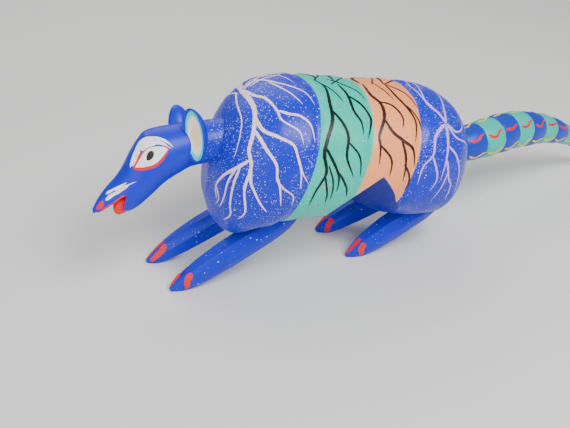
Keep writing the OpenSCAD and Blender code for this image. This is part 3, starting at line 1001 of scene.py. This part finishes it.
@dataclass
class Head:
    """The head with its neck, open mouth and painted face."""

    setout: SetOut
    groups: Groups
    neck_d: float = 16.8
    height: float = 30.3
    width: float = 18.6
    length: float = 60.0
    neck_run: float = 13.5
    mouth_share: float = 0.717
    mouth_z: float = -0.518
    lip_slope: float = 23.0
    jaw_lean: float = 18.0

    @property
    def skull_length(self) -> float:
        """Length of the head beyond the neck's straight part."""
        return self.length - self.neck_run

    @property
    def stations(self) -> Array:
        """Rows of share, top, bottom and half width."""
        n, h, w = self.neck_d, self.height, self.width
        return np.array([
            [0.00, n * 0.507, -n * 0.507, n * 0.507], [0.12, n * 0.52, -n * 0.53, n * 0.52],
            [0.25, h * 0.282, -h * 0.36, w * 0.48], [0.38, h * 0.274, -h * 0.45, w * 0.50],
            [0.48, h * 0.244, -h * 0.555, w * 0.495], [0.55, h * 0.152, -h * 0.625, w * 0.47],
            [0.63, h * 0.003, -h * 0.70, w * 0.41], [0.71, -h * 0.168, -h * 0.74, w * 0.34],
            [0.78, -h * 0.284, -h * 0.74, w * 0.27], [0.87, -h * 0.40, -h * 0.715, w * 0.20],
            [0.95, -h * 0.531, -h * 0.705, w * 0.14], [1.00, -h * 0.64, -h * 0.695, w * 0.06],
        ])

    def surface(self, share: Array, angle: Array) -> Array:
        """Surface of the skull: upright ellipses whose tops, bottoms and widths follow the stations.

        Args:
            share: Share of the skull's length from the neck.
            angle: Degrees from the top, growing towards the animal's left.

        Returns:
            Points in the row frame, in millimetres.
        """
        share, angle = np.broadcast_arrays(np.asarray(share, float), np.asarray(angle, float))
        top, bottom, side = np.moveaxis(smooth(self.stations, share), -1, 0)
        s, c = np.sin(np.radians(angle)), np.cos(np.radians(angle))
        z = (top + bottom) / 2 + (top - bottom) / 2 * c
        return self.setout.head(np.stack([side * s, -self.neck_run - share * self.skull_length, z], -1))

    def mirrored(self, share: Array, angle: Array) -> Array:
        """The same surface, with its angle growing the other way."""
        return self.surface(share, -np.asarray(angle, float))

    def build(self) -> list[bpy.types.Object]:
        """Make the head, cut its mouth and ear holes, and paint its face."""
        paint, red, wood = self.skin(), plain_paint("mouth_paint", Paint.RED, self.groups), bare_wood(self.groups)
        share = np.linspace(0, 1, 170)
        angle = np.linspace(360, 0, 120, endpoint=False)
        soup = Soup()
        skull = self.surface(share[:, None], angle[None, :])
        run = np.linspace(0, self.neck_run, 12)[:, None]
        turn = np.radians(angle)[None, :]
        radius = self.neck_d / 2
        across, up = radius * np.sin(turn) + 0 * run, radius * np.cos(turn) + 0 * run
        neck = self.setout.head(np.stack([across, -run + 0 * turn, up], -1))
        tenon = 9.0 / 2
        back = np.array([[14.0, tenon * 0.85], [13.6, tenon], [0.0, tenon]])
        across, up = back[:, 1:] * np.sin(turn), back[:, 1:] * np.cos(turn)
        peg = self.setout.head(np.stack([across, back[:, :1] + 0 * turn, up], -1))
        soup.add_rings(np.concatenate([peg, neck, skull]))
        head = soup.build("head_paint", [paint, red, wood], 45.0)
        corner_y = -self.neck_run - self.mouth_share * self.skull_length
        corner_z = self.mouth_z * self.height
        far = 60.0
        bite = [(0, 0), (-far * cosd(self.lip_slope), -far * sind(self.lip_slope)),
                (-far * cosd(self.lip_slope), -far), (-far * sind(self.jaw_lean), -far)]
        mouth = self.setout.head(prism(bite, far) + np.array([0.0, corner_y, corner_z]))
        holes = [(ear.frame(rod(1.55, -5.0, 20.0)), 2) for ear in (Ear(self, 1), Ear(self, -1))]
        head = carve(head, [(mouth, 1), *holes], 45.0)
        pieces = [belongs(head, "figure", "painted_head", "head"), self.tongue(red, corner_y, corner_z)]
        return pieces + self.face(red)

    def tongue(self, red: bpy.types.Material, y: float, z: float) -> bpy.types.Object:
        """Red tongue that fills the open mouth: a rounded block, square-sided in its section.

        Each section across the head is a superellipse, and the sections shrink to both sides as an
        ellipse does.
        """
        t = np.linspace(-0.995, 0.995, 26)[:, None]
        a = np.linspace(0, 2 * np.pi, 48, endpoint=False)[None, :]
        swell = np.sqrt(1 - t * t)**0.7
        c, d = np.sign(np.cos(a)) * np.abs(np.cos(a))**0.8, np.sign(np.sin(a)) * np.abs(np.sin(a))**0.8
        ahead, up = 3.5 * swell * c, 3.35 * swell * d
        lean = -0.28 * ahead
        points = np.stack([2.3 * t + 0 * a, y - 1.8 - ahead, z - 3.9 + up + lean], -1)
        soup = Soup()
        soup.add_rings(self.setout.head(points))
        return belongs(soup.build("tongue", [red]), "figure", "painted_head")

    def face(self, red: bpy.types.Material) -> list[bpy.types.Object]:
        """Eyes, brows, snout marks, lips and nose, on both sides."""
        white = plain_paint("face_white", Paint.WHITE, self.groups)
        black = plain_paint("pupil_paint", Paint.PUPIL, self.groups, 0.5)
        made = []
        for side, surface in (("left", self.surface), ("right", self.mirrored)):
            flip = side == "right"
            scale = (self.skull_length, 0.16)
            eye_white, pupil, rim = Soup(), Soup(), Soup()
            outline = curve_through(np.array(EYE_OUTLINE + EYE_OUTLINE[:1]), 72)[:-1]
            pupil_turn = np.linspace(0, 2 * np.pi, 40, endpoint=False)
            spot = np.column_stack([np.cos(pupil_turn), np.sin(pupil_turn)]) * PUPIL_SIZE + PUPIL
            order = -1 if flip else 1
            lay_patch(eye_white, surface, outline[::order], 0.05)
            lay_patch(pupil, surface, spot[::order], 0.16, 0.1, 8)
            for line in EYE_RIM:
                lay_stroke(rim, surface, line, scale, 0.13)
            for lip in LIPS:
                lay_stroke(rim, surface, lip, scale, 0.1)
            brow = strokes(f"{side}_brow", surface, BROW + SNOUT_MARKS, white, scale, 0.11)
            nose = Soup()
            nose_turn = np.linspace(0, 2 * np.pi, 32, endpoint=False)
            tip = np.column_stack([np.cos(nose_turn), np.sin(nose_turn)]) * NOSE_SIZE + NOSE
            lay_patch(nose, surface, tip[::order], 0.08, 0.15, 6)
            made += [eye_white.build(f"{side}_eye", [white], 60.0), pupil.build(f"{side}_pupil", [black], 60.0),
                     rim.build(f"{side}_eye_rim", [red], 60.0), brow, nose.build(f"{side}_nose", [red], 60.0)]
        return [belongs(piece, "figure", "painted_head") for piece in made]

    def skin(self) -> bpy.types.Material:
        """Plain blue on the face, with flecks that gather towards the chest."""
        finish = Finish("head_paint", self.groups, 0.38, 0.2)
        g = finish.g
        ear_y = (self.setout.start_y + self.setout.neck_seat_y - 22.0) * MM
        y = g.node("ShaderNodeSeparateXYZ", {0: finish.place}).outputs[1]
        near = g.ramp(y, ear_y, ear_y + 0.006)
        colour = finish.flecks(Paint.BLUE.rgba, Paint.MIST, 1900.0, 0.34, g.math("MULTIPLY", near, 0.6))
        colour = finish.flecks(colour, Paint.WHITE, 1300.0, 0.26, g.math("MULTIPLY", near, 0.35), 0.31)
        return finish.close(colour)


EYE_OUTLINE = [(0.615, 67.0), (0.583, 62.0), (0.53, 60.5), (0.458, 63.5), (0.395, 69.5), (0.345, 76.0), (0.332, 80.0),
               (0.358, 88.5), (0.402, 95.5), (0.466, 96.5), (0.54, 87.5), (0.59, 76.0)]
PUPIL = (0.482, 76.0)
PUPIL_SIZE = (0.034, 7.6)
EYE_RIM = (
    Stroke(((0.63, 63.0), (0.60, 74.0), (0.543, 88.0), (0.468, 98.0), (0.402, 97.0), (0.357, 90.0), (0.325, 81.0)),
           1.1, 0.9, 0.4),
    Stroke(((0.632, 64.0), (0.59, 61.5), (0.535, 59.5), (0.49, 60.0)), 1.1, 0.5, 0.2),
    Stroke(((0.322, 81.0), (0.343, 75.0), (0.372, 71.0)), 1.0, 0.4, 0.2),
    Stroke(((0.60, 62.0), (0.565, 54.0), (0.53, 52.0)), 0.5, 0.3),
)
BROW = [
    Stroke(((0.65, 54.0), (0.617, 44.0), (0.582, 38.0), (0.545, 32.0), (0.495, 38.0), (0.431, 46.0), (0.368, 56.0),
            (0.321, 68.0), (0.285, 82.0)), 1.7, 0.5, 0.5),
    Stroke(((0.63, 59.0), (0.60, 52.0), (0.565, 46.0), (0.53, 44.0)), 1.1, 0.6, 0.2),
    Stroke(((0.57, 47.0), (0.53, 42.0), (0.48, 46.0), (0.43, 51.0)), 1.4, 0.6, 0.3),
    Stroke(((0.545, 52.0), (0.50, 52.0), (0.45, 55.0), (0.39, 62.0)), 1.6, 0.6, 0.4),
    Stroke(((0.49, 48.0), (0.44, 54.0), (0.385, 61.0), (0.335, 72.0)), 1.5, 0.5, 0.4),
    Stroke(((0.425, 58.0), (0.375, 66.0), (0.33, 76.0), (0.305, 83.0)), 1.0, 0.3),
    Stroke(((0.53, 57.0), (0.48, 59.0), (0.42, 63.0)), 1.0, 0.4),
    Stroke(((0.625, 60.0), (0.59, 55.0), (0.55, 51.0)), 0.9, 0.5, 0.3),
    Stroke(((0.47, 57.0), (0.42, 60.0), (0.37, 67.0), (0.34, 73.0)), 1.0, 0.4, 0.2),
]
SNOUT_MARKS = [
    Stroke(((0.875, 54.0), (0.79, 62.0), (0.695, 74.0)), 1.2, 0.4, 0.2),
    Stroke(((0.885, 82.0), (0.82, 76.0), (0.75, 80.0), (0.685, 84.0)), 1.4, 0.4, 0.4),
    Stroke(((0.80, 66.0), (0.73, 75.0), (0.62, 94.0)), 0.9, 0.25),
]
LIPS = [Stroke(((0.72, 101.0), (0.76, 99.0), (0.80, 103.0), (0.86, 114.0), (0.92, 128.0), (0.965, 150.0)), 0.8, 0.6)]
NOSE = (0.935, 88.0)
NOSE_SIZE = (0.034, 24.0)


# --------------------------------------------------------------------------- ears


@dataclass
class Ear:
    """One ear: half an egg with a hollowed, painted face, on a round tenon."""

    head: Head
    side: int
    height: float = 20.5
    width: float = 11.5
    thickness: float = 5.5
    hollow: float = 0.8
    face_turn: float = 55.0
    right_turn: float = 36.0
    tenon_y: float = 17.5
    tenon_z: float = 1.5
    right_lead: float = 1.5
    rise: float = 2.0
    right_lift: float = 2.0
    out: float = 3.6
    fore: float = 1.6

    def frame(self, points: Array) -> Array:
        """Place points of the ear's frame: Z out along the tenon, X back, Y up the head."""
        seat_x = self.head.neck_d / 2 - 0.6
        lead = self.right_lead if self.side < 0 else 0.0
        x, y, z = np.moveaxis(points, -1, 0)
        placed = np.stack([self.side * (seat_x + z), -self.tenon_y - lead + x, self.tenon_z + y], -1)
        return self.head.setout.head(placed)

    def surface(self, height: Array, angle: Array) -> Array:
        """Surface of the ear before it is fitted to the head.

        At a share of its height the section is a half ellipse behind and a shallow hollow in front.

        Args:
            height: From -1 at the lower tip to 1 at the upper one.
            angle: Degrees round the section: up to 90 either side of 0 is the face.

        Returns:
            Points in the row frame, in millimetres.
        """
        height, angle = np.broadcast_arrays(np.asarray(height, float), np.asarray(angle, float))
        wide = np.clip(1 - height**2, 1e-4, 1)**0.55
        s, c = np.sin(np.radians(angle)), np.cos(np.radians(angle))
        depth = np.where(c > 0, -self.hollow * wide * c * c, self.thickness * wide * c)
        local = np.stack([self.width / 2 * wide * s * np.where(c > 0, 0.97, 1), height * self.height / 2, depth], -1)
        rise = self.rise + (self.right_lift if self.side < 0 else 0.0)
        turn = self.face_turn if self.side > 0 else self.right_turn
        local = turned(local, 1, -turn) + np.array([-self.fore, rise, self.out])
        return self.frame(local)

    def build(self, paint: bpy.types.Material, wood: bpy.types.Material) -> list[bpy.types.Object]:
        """Make the ear and its tenon as one carved piece."""
        name = "left_ear" if self.side > 0 else "right_ear"
        even = np.linspace(0.02, 0.98, 72)
        height = -np.cos(np.pi * even)[:, None]
        angle = np.linspace(0, 360, 96, endpoint=False)[None, :]
        grid = self.surface(height, angle)
        s, c = np.sin(np.radians(angle)), np.cos(np.radians(angle))
        wide = np.clip(1 - height**2, 1e-4, 1)**0.55
        reach = np.where(c > 0, np.hypot((wide * s - 0.1) / 0.82, (height + 0.04) / 0.93), 1.5)
        uv = np.stack([reach, (height + 1) / 2 + 0 * s], -1)
        if self.side < 0:
            grid, uv = grid[:, ::-1], uv[:, ::-1]
        soup = Soup()
        soup.add_rings(grid, uv)
        ear = soup.build(name + "_paint", [paint, wood], 38.0)
        saddle = self.head.setout.head(turned(rod(9.2, -10.0, 60.0, 128), 0, 90.0))
        ear = carve(ear, [(saddle, 0)], 38.0)
        pin = Soup()
        pin.add_rings(self.frame(rod(1.5, -4.5, 1.5, 40))[:, ::self.side])
        tenon = pin.build(name + "_tenon", [wood])
        return [belongs(ear, name, "painted_ears", name), belongs(tenon, name, "painted_ears")]


def ear_paint(groups: Groups) -> bpy.types.Material:
    """Blue ear with a teal ring and a cream and white middle, drawn by distance from the face's middle."""
    finish = Finish("ear_paint", groups, 0.38, 0.14)
    g = finish.g
    uv = g.node("ShaderNodeUVMap", uv_map="surface").outputs[0]
    reach = g.node("ShaderNodeSeparateXYZ", {0: uv}).outputs[0]
    wobble = g.math("MULTIPLY", g.math("SUBTRACT", g.noise(finish.place, 420.0, 2.0), 0.5), 0.12)
    reach = g.math("ADD", reach, wobble)
    colour = g.mix(g.ramp(reach, 0.3, 0.7), Paint.CREAM.rgba, Paint.WHITE.rgba)
    colour = g.mix(g.ramp(reach, 0.72, 0.88), colour, Paint.SKY.rgba)
    colour = g.mix(g.ramp(reach, 0.98, 1.03), colour, Paint.BLUE.rgba)
    return finish.close(colour)


# --------------------------------------------------------------------------- tail


@dataclass
class Tail:
    """The tail, with its ringed lobes and the marks on each ring."""

    setout: SetOut
    groups: Groups
    reach: float = 106.0
    curl: float = 12.5
    tip_z: float = 5.5
    root_d: float = 15.0
    diameter: float = 17.4
    rings: int = 10
    root: float = 8.0
    swell: float = 0.08

    line = np.array([
        [0.00, 0.00, 0.00], [0.08, 0.00, 0.00], [0.20, 0.05, 0.00], [0.34, 0.22, 0.02], [0.51, 0.42, 0.12],
        [0.67, 0.58, 0.29], [0.80, 0.73, 0.50], [0.91, 0.87, 0.75], [1.00, 1.00, 1.00],
    ])

    @property
    def radii(self) -> Array:
        """Rows of share and radius, as shares of the thickest."""
        root = self.root_d / self.diameter
        return np.array([[0.00, root], [0.08, root], [0.18, 0.97], [0.30, 1.00], [0.44, 0.96],
                         [0.56, 0.83], [0.69, 0.66], [0.82, 0.47], [0.93, 0.28], [1.00, 0.08]])

    def centre(self, share: Array) -> Array:
        """Centre line in the tail's frame: out along the root, curling aside and falling as the table says."""
        aside, fall = np.moveaxis(smooth(self.line, share), -1, 0)
        return np.stack([-aside * self.curl, share * self.reach, -fall * (self.setout.tail_z - self.tip_z)], -1)

    def surface(self, share: Array, angle: Array) -> Array:
        """Surface of the tail: circles square to the centre line, swollen between the rings' grooves.

        Args:
            share: Share of the reach from the seat.
            angle: Degrees from the top, growing towards the animal's left.

        Returns:
            Points in the row frame, in millimetres.
        """
        share, angle = np.broadcast_arrays(np.asarray(share, float), np.asarray(angle, float))
        way = unit(self.centre(np.minimum(share + 0.005, 1)) - self.centre(np.maximum(share - 0.005, 0)))
        across = unit(np.cross(way, np.array([0.0, 0.0, 1.0])))
        up = np.cross(across, way)
        start = self.root / self.reach
        lobe = np.abs(np.sin(np.pi * self.rings * np.clip((share - start) / (1 - start), 0, 1)))**0.7
        swelling = np.where(share < start, 1, 1 + self.swell * (lobe - 0.6))
        radius = smooth(self.radii, share)[..., 0] * self.diameter / 2 * swelling
        s, c = np.sin(np.radians(angle)), np.cos(np.radians(angle))
        return self.setout.tail(self.centre(share) + (radius * s)[..., None] * across + (radius * c)[..., None] * up)

    def build(self) -> list[bpy.types.Object]:
        """Make the tail, its painted marks and its dowel."""
        share = np.concatenate([np.linspace(0.001, 0.07, 10), np.linspace(0.075, 1, 420)])
        grid = self.surface(share[:, None], np.linspace(0, 360, 72, endpoint=False)[None, :])
        uv = np.zeros(grid.shape[:2] + (2,))
        uv[..., 1] = share[:, None]
        uv[..., 0] = np.linspace(0, 1, 72, endpoint=False)[None, :]
        wood = bare_wood(self.groups)
        soup = Soup()
        soup.add_rings(grid, uv)
        tail = soup.build("tail_paint", [self.ringed(), wood])
        hole = self.setout.tail(turned(rod(3.05, -1.0, 11.0), 0, -90.0))
        tail = carve(tail, [(hole, 1)])
        pin = Soup()
        pin.add_rings(self.setout.tail(turned(rod(3.0, -10.7, 10.7, 48), 0, -90.0)))
        dowel = pin.build("tail_pin", [wood])
        scale = (self.reach, 0.14)
        yellow = plain_paint("tail_yellow", Paint.YELLOW, self.groups)
        red = plain_paint("tail_red", Paint.RED, self.groups)
        top, low = self.marks(-16.0, 1.0, 0.6), self.marks(108.0, 1.0, 1.9)
        mid, far_side = self.marks(48.0, 1.2, 0.0), self.marks(-76.0, 1.2, 1.1)
        yellows = strokes("tail_yellow_marks", self.surface, top + low + self.marks(-130.0, 0.85, 2.4), yellow, scale)
        reds = strokes("tail_red_marks", self.surface, mid + far_side, red, scale)
        return [belongs(tail, "tail", "painted_tail", "tail"), belongs(dowel, "tail", "bare_dowel", "tail_dowel"),
                belongs(yellows, "tail", "painted_tail"), belongs(reds, "tail", "painted_tail")]

    def marks(self, angle: float, width: float, phase: float) -> list[Stroke]:
        """One squiggle on each ring at about the same angle: an S drawn along the tail.

        Args:
            angle: Degrees from the top.
            width: The brush's width.
            phase: Makes one row's squiggles differ from another's.

        Returns:
            The squiggles, smaller towards the tip.
        """
        made = []
        start = self.root / self.reach
        for ring in range(self.rings - 1):
            low = start + (1 - start) * (ring + 0.08) / self.rings
            high = start + (1 - start) * (ring + 0.92) / self.rings
            size = float(smooth(self.radii, np.array((low + high) / 2))[0])
            dip = 9.0 + 4.0 * math.sin(ring * 2.1 + phase)
            lean = 7.0 * math.sin(ring * 1.3 + phase) - 8.0
            shape = ((0.02, 0.0), (0.25, 0.9), (0.48, 1.0), (0.72, 0.1), (1.0, -0.3))
            path = tuple((low + (high - low) * t, angle + lean * (t - 0.4) + dip * d) for t, d in shape)
            made.append(Stroke(path, width * (0.5 + 0.5 * size), 0.5 * width, 0.25 * size))
        return made

    def ringed(self) -> bpy.types.Material:
        """Blue and teal rings by turns, their edges a little uneven."""
        finish = Finish("tail_paint", self.groups, 0.38, 0.18)
        g = finish.g
        uv = g.node("ShaderNodeUVMap", uv_map="surface").outputs[0]
        share = g.node("ShaderNodeSeparateXYZ", {0: uv}).outputs[1]
        start = self.root / self.reach
        wobble = g.math("MULTIPLY", g.math("SUBTRACT", g.noise(finish.place, 300.0, 2.0), 0.5), 0.1)
        place = g.math("ADD", g.math("MULTIPLY", g.math("SUBTRACT", share, start), self.rings / (1 - start)), wobble)
        wave = g.math("SINE", g.math("MULTIPLY", place, math.pi))
        teal = g.math("MULTIPLY", g.ramp(wave, 0.06, -0.06), g.math("GREATER_THAN", place, 0.5))
        colour = g.mix(teal, linear("1436b4"), linear("1fb8a4"))
        return finish.close(colour)


# --------------------------------------------------------------------------- painted roots

FRONT_NODE = -12.0
FRONT_ROOTS = [
    Stroke(((0.118, -14), (0.125, 9), (0.126, 24), (0.11, 42), (0.095, 54), (0.10, 68), (0.085, 85), (0.095, 103),
            (0.08, 113)), 2.3, 0.7),
    Stroke(((0.098, 62), (0.06, 66), (0.035, 70), (0.022, 80), (0.018, 92), (0.022, 106)), 1.5, 0.5),
    Stroke(((0.06, 66), (0.042, 78), (0.036, 94), (0.03, 112)), 1.1, 0.4),
    Stroke(((0.07, 66), (0.056, 80), (0.052, 98), (0.058, 112), (0.046, 126)), 1.2, 0.4),
    Stroke(((0.02, 90), (0.026, 102), (0.022, 116)), 0.7, 0.3),
    Stroke(((0.10, 72), (0.103, 82), (0.133, 96), (0.165, 108)), 1.3, 0.45),
    Stroke(((0.12, 26), (0.14, 43), (0.185, 53), (0.228, 60), (0.243, 70), (0.262, 82), (0.29, 91)), 1.7, 0.4),
    Stroke(((0.243, 70), (0.256, 81), (0.262, 93)), 1.0, 0.35),
    Stroke(((0.113, 38), (0.143, 58), (0.175, 73), (0.185, 86), (0.24, 97), (0.247, 107)), 1.6, 0.4),
    Stroke(((0.18, 82), (0.195, 92), (0.207, 105)), 1.0, 0.3),
    Stroke(((0.118, -14), (0.14, 6), (0.168, 16), (0.19, 30), (0.20, 40), (0.25, 50), (0.262, 61)), 1.5, 0.4),
    Stroke(((0.195, 31), (0.225, 35), (0.262, 38), (0.292, 46), (0.302, 60)), 1.3, 0.35),
    Stroke(((0.12, -15), (0.165, -12), (0.21, -2), (0.262, 6), (0.305, 16), (0.325, 28)), 1.3, 0.35),
    Stroke(((0.20, -2), (0.25, 14), (0.28, 28)), 0.9, 0.3),
    Stroke(((0.143, -18), (0.19, -16), (0.25, -12), (0.288, 2)), 0.8, 0.3),
    Stroke(((0.108, -16), (0.09, 4), (0.086, 24), (0.073, 39), (0.055, 56)), 0.9, 0.3),
]
TEAL_ROOTS = [
    Stroke(((0.372, -4), (0.393, 7), (0.38, 26), (0.372, 42), (0.344, 59), (0.334, 70), (0.345, 84), (0.318, 96),
            (0.306, 111)), 0.7, 0.5, 0.9),
    Stroke(((0.374, 32), (0.41, 45), (0.424, 56), (0.418, 72), (0.452, 88)), 1.0, 0.4, 0.5),
    Stroke(((0.426, 60), (0.465, 71), (0.48, 88)), 0.7, 0.35, 0.2),
    Stroke(((0.338, 64), (0.385, 82), (0.397, 90), (0.396, 98)), 1.0, 0.35, 0.4),
    Stroke(((0.385, 82), (0.43, 94), (0.442, 104)), 0.8, 0.35, 0.3),
    Stroke(((0.343, 86), (0.362, 99), (0.366, 109)), 0.8, 0.35, 0.2),
    Stroke(((0.352, 78), (0.378, 92), (0.382, 106)), 0.6, 0.3, 0.2),
    Stroke(((0.455, 0), (0.464, 15), (0.462, 32), (0.482, 43), (0.483, 54)), 0.7, 0.4, 0.6),
    Stroke(((0.463, 16), (0.50, 26), (0.522, 35), (0.524, 42), (0.50, 57)), 0.8, 0.4, 0.5),
    Stroke(((0.39, 2), (0.42, 12), (0.435, 24)), 0.5, 0.3, 0.2),
    Stroke(((0.43, -6), (0.47, 0), (0.51, 10), (0.53, 20)), 0.6, 0.3, 0.2),
]
PEACH_ROOTS = [
    Stroke(((0.558, -2), (0.557, 14), (0.58, 25), (0.576, 38), (0.545, 54), (0.546, 63), (0.543, 80)), 0.8, 0.4, 0.8),
    Stroke(((0.576, 22), (0.62, 26), (0.647, 38), (0.64, 48)), 0.8, 0.35, 0.3),
    Stroke(((0.575, 40), (0.598, 51), (0.64, 59), (0.675, 66), (0.69, 81)), 1.0, 0.4, 0.6),
    Stroke(((0.63, 57), (0.646, 72), (0.65, 92)), 0.9, 0.35, 0.4),
    Stroke(((0.642, 78), (0.678, 90), (0.672, 101)), 0.9, 0.35, 0.3),
    Stroke(((0.546, 62), (0.59, 74), (0.59, 88)), 0.8, 0.35, 0.3),
    Stroke(((0.65, -3), (0.657, 14), (0.674, 26), (0.697, 40), (0.694, 50), (0.684, 60)), 0.8, 0.4, 0.5),
    Stroke(((0.674, 25), (0.712, 38), (0.717, 50)), 0.7, 0.35, 0.2),
    Stroke(((0.655, -2), (0.69, 5), (0.717, 14), (0.726, 26)), 0.7, 0.3, 0.3),
    Stroke(((0.60, -4), (0.625, 8), (0.64, 20)), 0.5, 0.3, 0.2),
]
REAR_ROOTS = [
    Stroke(((0.824, 42), (0.805, 33), (0.77, 22), (0.775, 8), (0.79, -8)), 1.4, 0.4),
    Stroke(((0.79, 28), (0.765, 16), (0.755, 2), (0.75, -6)), 0.9, 0.35),
    Stroke(((0.824, 42), (0.84, 24), (0.86, 8), (0.875, -6)), 1.1, 0.35),
    Stroke(((0.826, 42), (0.86, 47), (0.885, 47), (0.91, 42), (0.925, 32)), 1.2, 0.4),
    Stroke(((0.822, 43), (0.795, 47), (0.765, 56), (0.757, 70), (0.722, 80), (0.712, 94)), 1.6, 0.4),
    Stroke(((0.758, 72), (0.788, 88), (0.775, 99)), 1.0, 0.35),
    Stroke(((0.823, 43), (0.823, 60), (0.816, 75), (0.806, 90)), 1.7, 0.4),
    Stroke(((0.826, 62), (0.868, 70), (0.898, 85), (0.905, 102)), 1.2, 0.35),
    Stroke(((0.82, 74), (0.842, 88), (0.868, 95), (0.868, 110)), 1.2, 0.35),
    Stroke(((0.834, 84), (0.82, 98), (0.803, 110)), 0.9, 0.3),
    Stroke(((0.83, 44), (0.868, 53), (0.93, 57), (0.95, 70)), 1.1, 0.35),
    Stroke(((0.935, 62), (0.945, 80), (0.935, 98)), 0.7, 0.3),
]


def other_side(lines: Iterable[Stroke], node: float, shift: float) -> list[Stroke]:
    """Repeat lines on the far side of a node, moved along a little, as a hand would repeat them."""
    made = []
    for line in lines:
        path = tuple((share + shift * math.sin(9 * share + 0.05 * angle), 2 * node - angle * 0.94)
                     for share, angle in line.path)
        made.append(Stroke(path, line.start, line.end, line.belly))
    return made


def paint_roots(trunk: Trunk, groups: Groups) -> list[bpy.types.Object]:
    """Paint the four root patterns on both flanks.

    Args:
        trunk: The trunk that they lie on.
        groups: The shared node groups.

    Returns:
        One piece for each colour.
    """
    plan = (
        ("front_roots", FRONT_ROOTS, Paint.PINK_WHITE, FRONT_NODE),
        ("teal_roots", TEAL_ROOTS, Paint.BLACK, -2.0),
        ("peach_roots", PEACH_ROOTS, Paint.MAROON, -2.0),
        ("rear_roots", REAR_ROOTS, Paint.LAVENDER, -2.0),
    )
    made = []
    for name, lines, paint, node in plan:
        both = lines + other_side(lines, node, 0.006)
        piece = strokes(name, trunk.surface, both, plain_paint(name, paint, groups), (trunk.length, 0.55))
        made.append(belongs(piece, "figure", "painted_trunk"))
    return made


# --------------------------------------------------------------------------- scene


@dataclass
class Studio:
    """Pale floor, soft lights and the camera."""

    azimuth: float = 72.0
    elevation: float = 33.0
    distance: float = 330.0
    lens: float = 50.53
    target: tuple[float, float, float] = (14.0, 0.0, 30.0)

    def build(self, setout: SetOut) -> None:
        """Make the floor, the lights and the camera."""
        aim = Vector(setout.place(np.array(self.target))) * MM
        a, e = math.radians(self.azimuth), math.radians(self.elevation)
        back = Vector((math.sin(a) * math.cos(e), -math.cos(a) * math.cos(e), math.sin(e)))
        data = bpy.data.cameras.new("camera")
        data.lens, data.sensor_width, data.clip_start = self.lens, 36.0, 0.01
        camera = bpy.data.objects.new("camera", data)
        camera.location = aim + back * self.distance * MM
        camera.rotation_mode = "QUATERNION"
        camera.rotation_quaternion = (-back).to_track_quat("-Z", "Y")
        bpy.context.scene.collection.objects.link(camera)
        bpy.context.scene.camera = camera
        self.floor()
        self.light("key", (0.42, 0.14, 0.58), 0.36, 6.5, aim)
        self.light("fill", (0.40, -0.60, 0.35), 0.70, 3.0, aim)
        self.light("back", (-0.50, -0.10, 0.55), 0.60, 2.6, aim)
        world = bpy.data.worlds.new("room")
        world.use_nodes = True
        world.node_tree.nodes["Background"].inputs[0].default_value = (0.85, 0.88, 0.92, 1)
        world.node_tree.nodes["Background"].inputs[1].default_value = 0.35
        bpy.context.scene.world = world

    def light(self, name: str, place: tuple[float, float, float], size: float, power: float, aim: Vector) -> None:
        """Hang a soft square lamp that looks at the figure."""
        data = bpy.data.lights.new(name, "AREA")
        data.size, data.energy = size, power
        lamp = bpy.data.objects.new(name, data)
        lamp.location = place
        lamp.rotation_mode = "QUATERNION"
        lamp.rotation_quaternion = (aim - Vector(place)).to_track_quat("-Z", "Y")
        bpy.context.scene.collection.objects.link(lamp)

    def floor(self) -> None:
        """Lay the floor, a large flat sheet just under the paws."""
        mesh = bpy.data.meshes.new("floor")
        half = 2.0
        mesh.from_pydata([(-half, -half, 0), (half, -half, 0), (half, half, 0), (-half, half, 0)], [], [(0, 1, 2, 3)])
        sheet = bpy.data.objects.new("floor", mesh)
        material = bpy.data.materials.new("floor")
        material.use_nodes = True
        shader = material.node_tree.nodes["Principled BSDF"]
        shader.inputs["Base Color"].default_value = (0.72, 0.71, 0.69, 1)
        shader.inputs["Roughness"].default_value = 0.8
        mesh.materials.append(material)
        bpy.context.scene.collection.objects.link(sheet)


def leg_paint(groups: Groups) -> bpy.types.Material:
    """Blue with a thin scatter of white flecks."""
    finish = Finish("leg_paint", groups, 0.36, 0.2)
    colour = finish.flecks(Paint.BLUE.rgba, Paint.MIST, 1300.0, 0.28, 0.16)
    colour = finish.flecks(colour, Paint.WHITE, 900.0, 0.2, 0.08, 0.31)
    colour = finish.flecks(colour, Paint.RED, 900.0, 0.16, 0.03, 0.57)
    return finish.close(colour)


def corners(box: tuple[Vector, Vector]) -> list[list[float]]:
    """A box's two corners as plain lists."""
    return [list(box[0]), list(box[1])]


def main() -> None:
    """Build every piece around the frame."""
    logging.basicConfig(level=logging.INFO, format="%(message)s")
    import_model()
    setout = SetOut()
    Studio().build(setout)
    groups = Groups()
    trunk = Trunk(setout, groups)
    body = belongs(trunk.build(), "figure", "painted_trunk", "trunk")
    log.info("%s rides on the figure", body.name)
    paint_roots(trunk, groups)
    wood, paint = bare_wood(groups), leg_paint(groups)
    # the legs' pared faces get the darker blue as painted shade
    cut, claws = plain_paint("pared_shade_paint", Paint.SHADE_BLUE, groups), plain_paint("claw_paint", Paint.ROSE, groups)
    for place in LEG_PLACES:
        Leg(place, trunk, paint, cut, claws, wood).build()
    head = Head(setout, groups)
    head.build()
    dressed = ear_paint(groups)
    for side in (1, -1):
        Ear(head, side).build(dressed, wood)
    Tail(setout, groups).build()


if __name__ == "__main__":
    main()
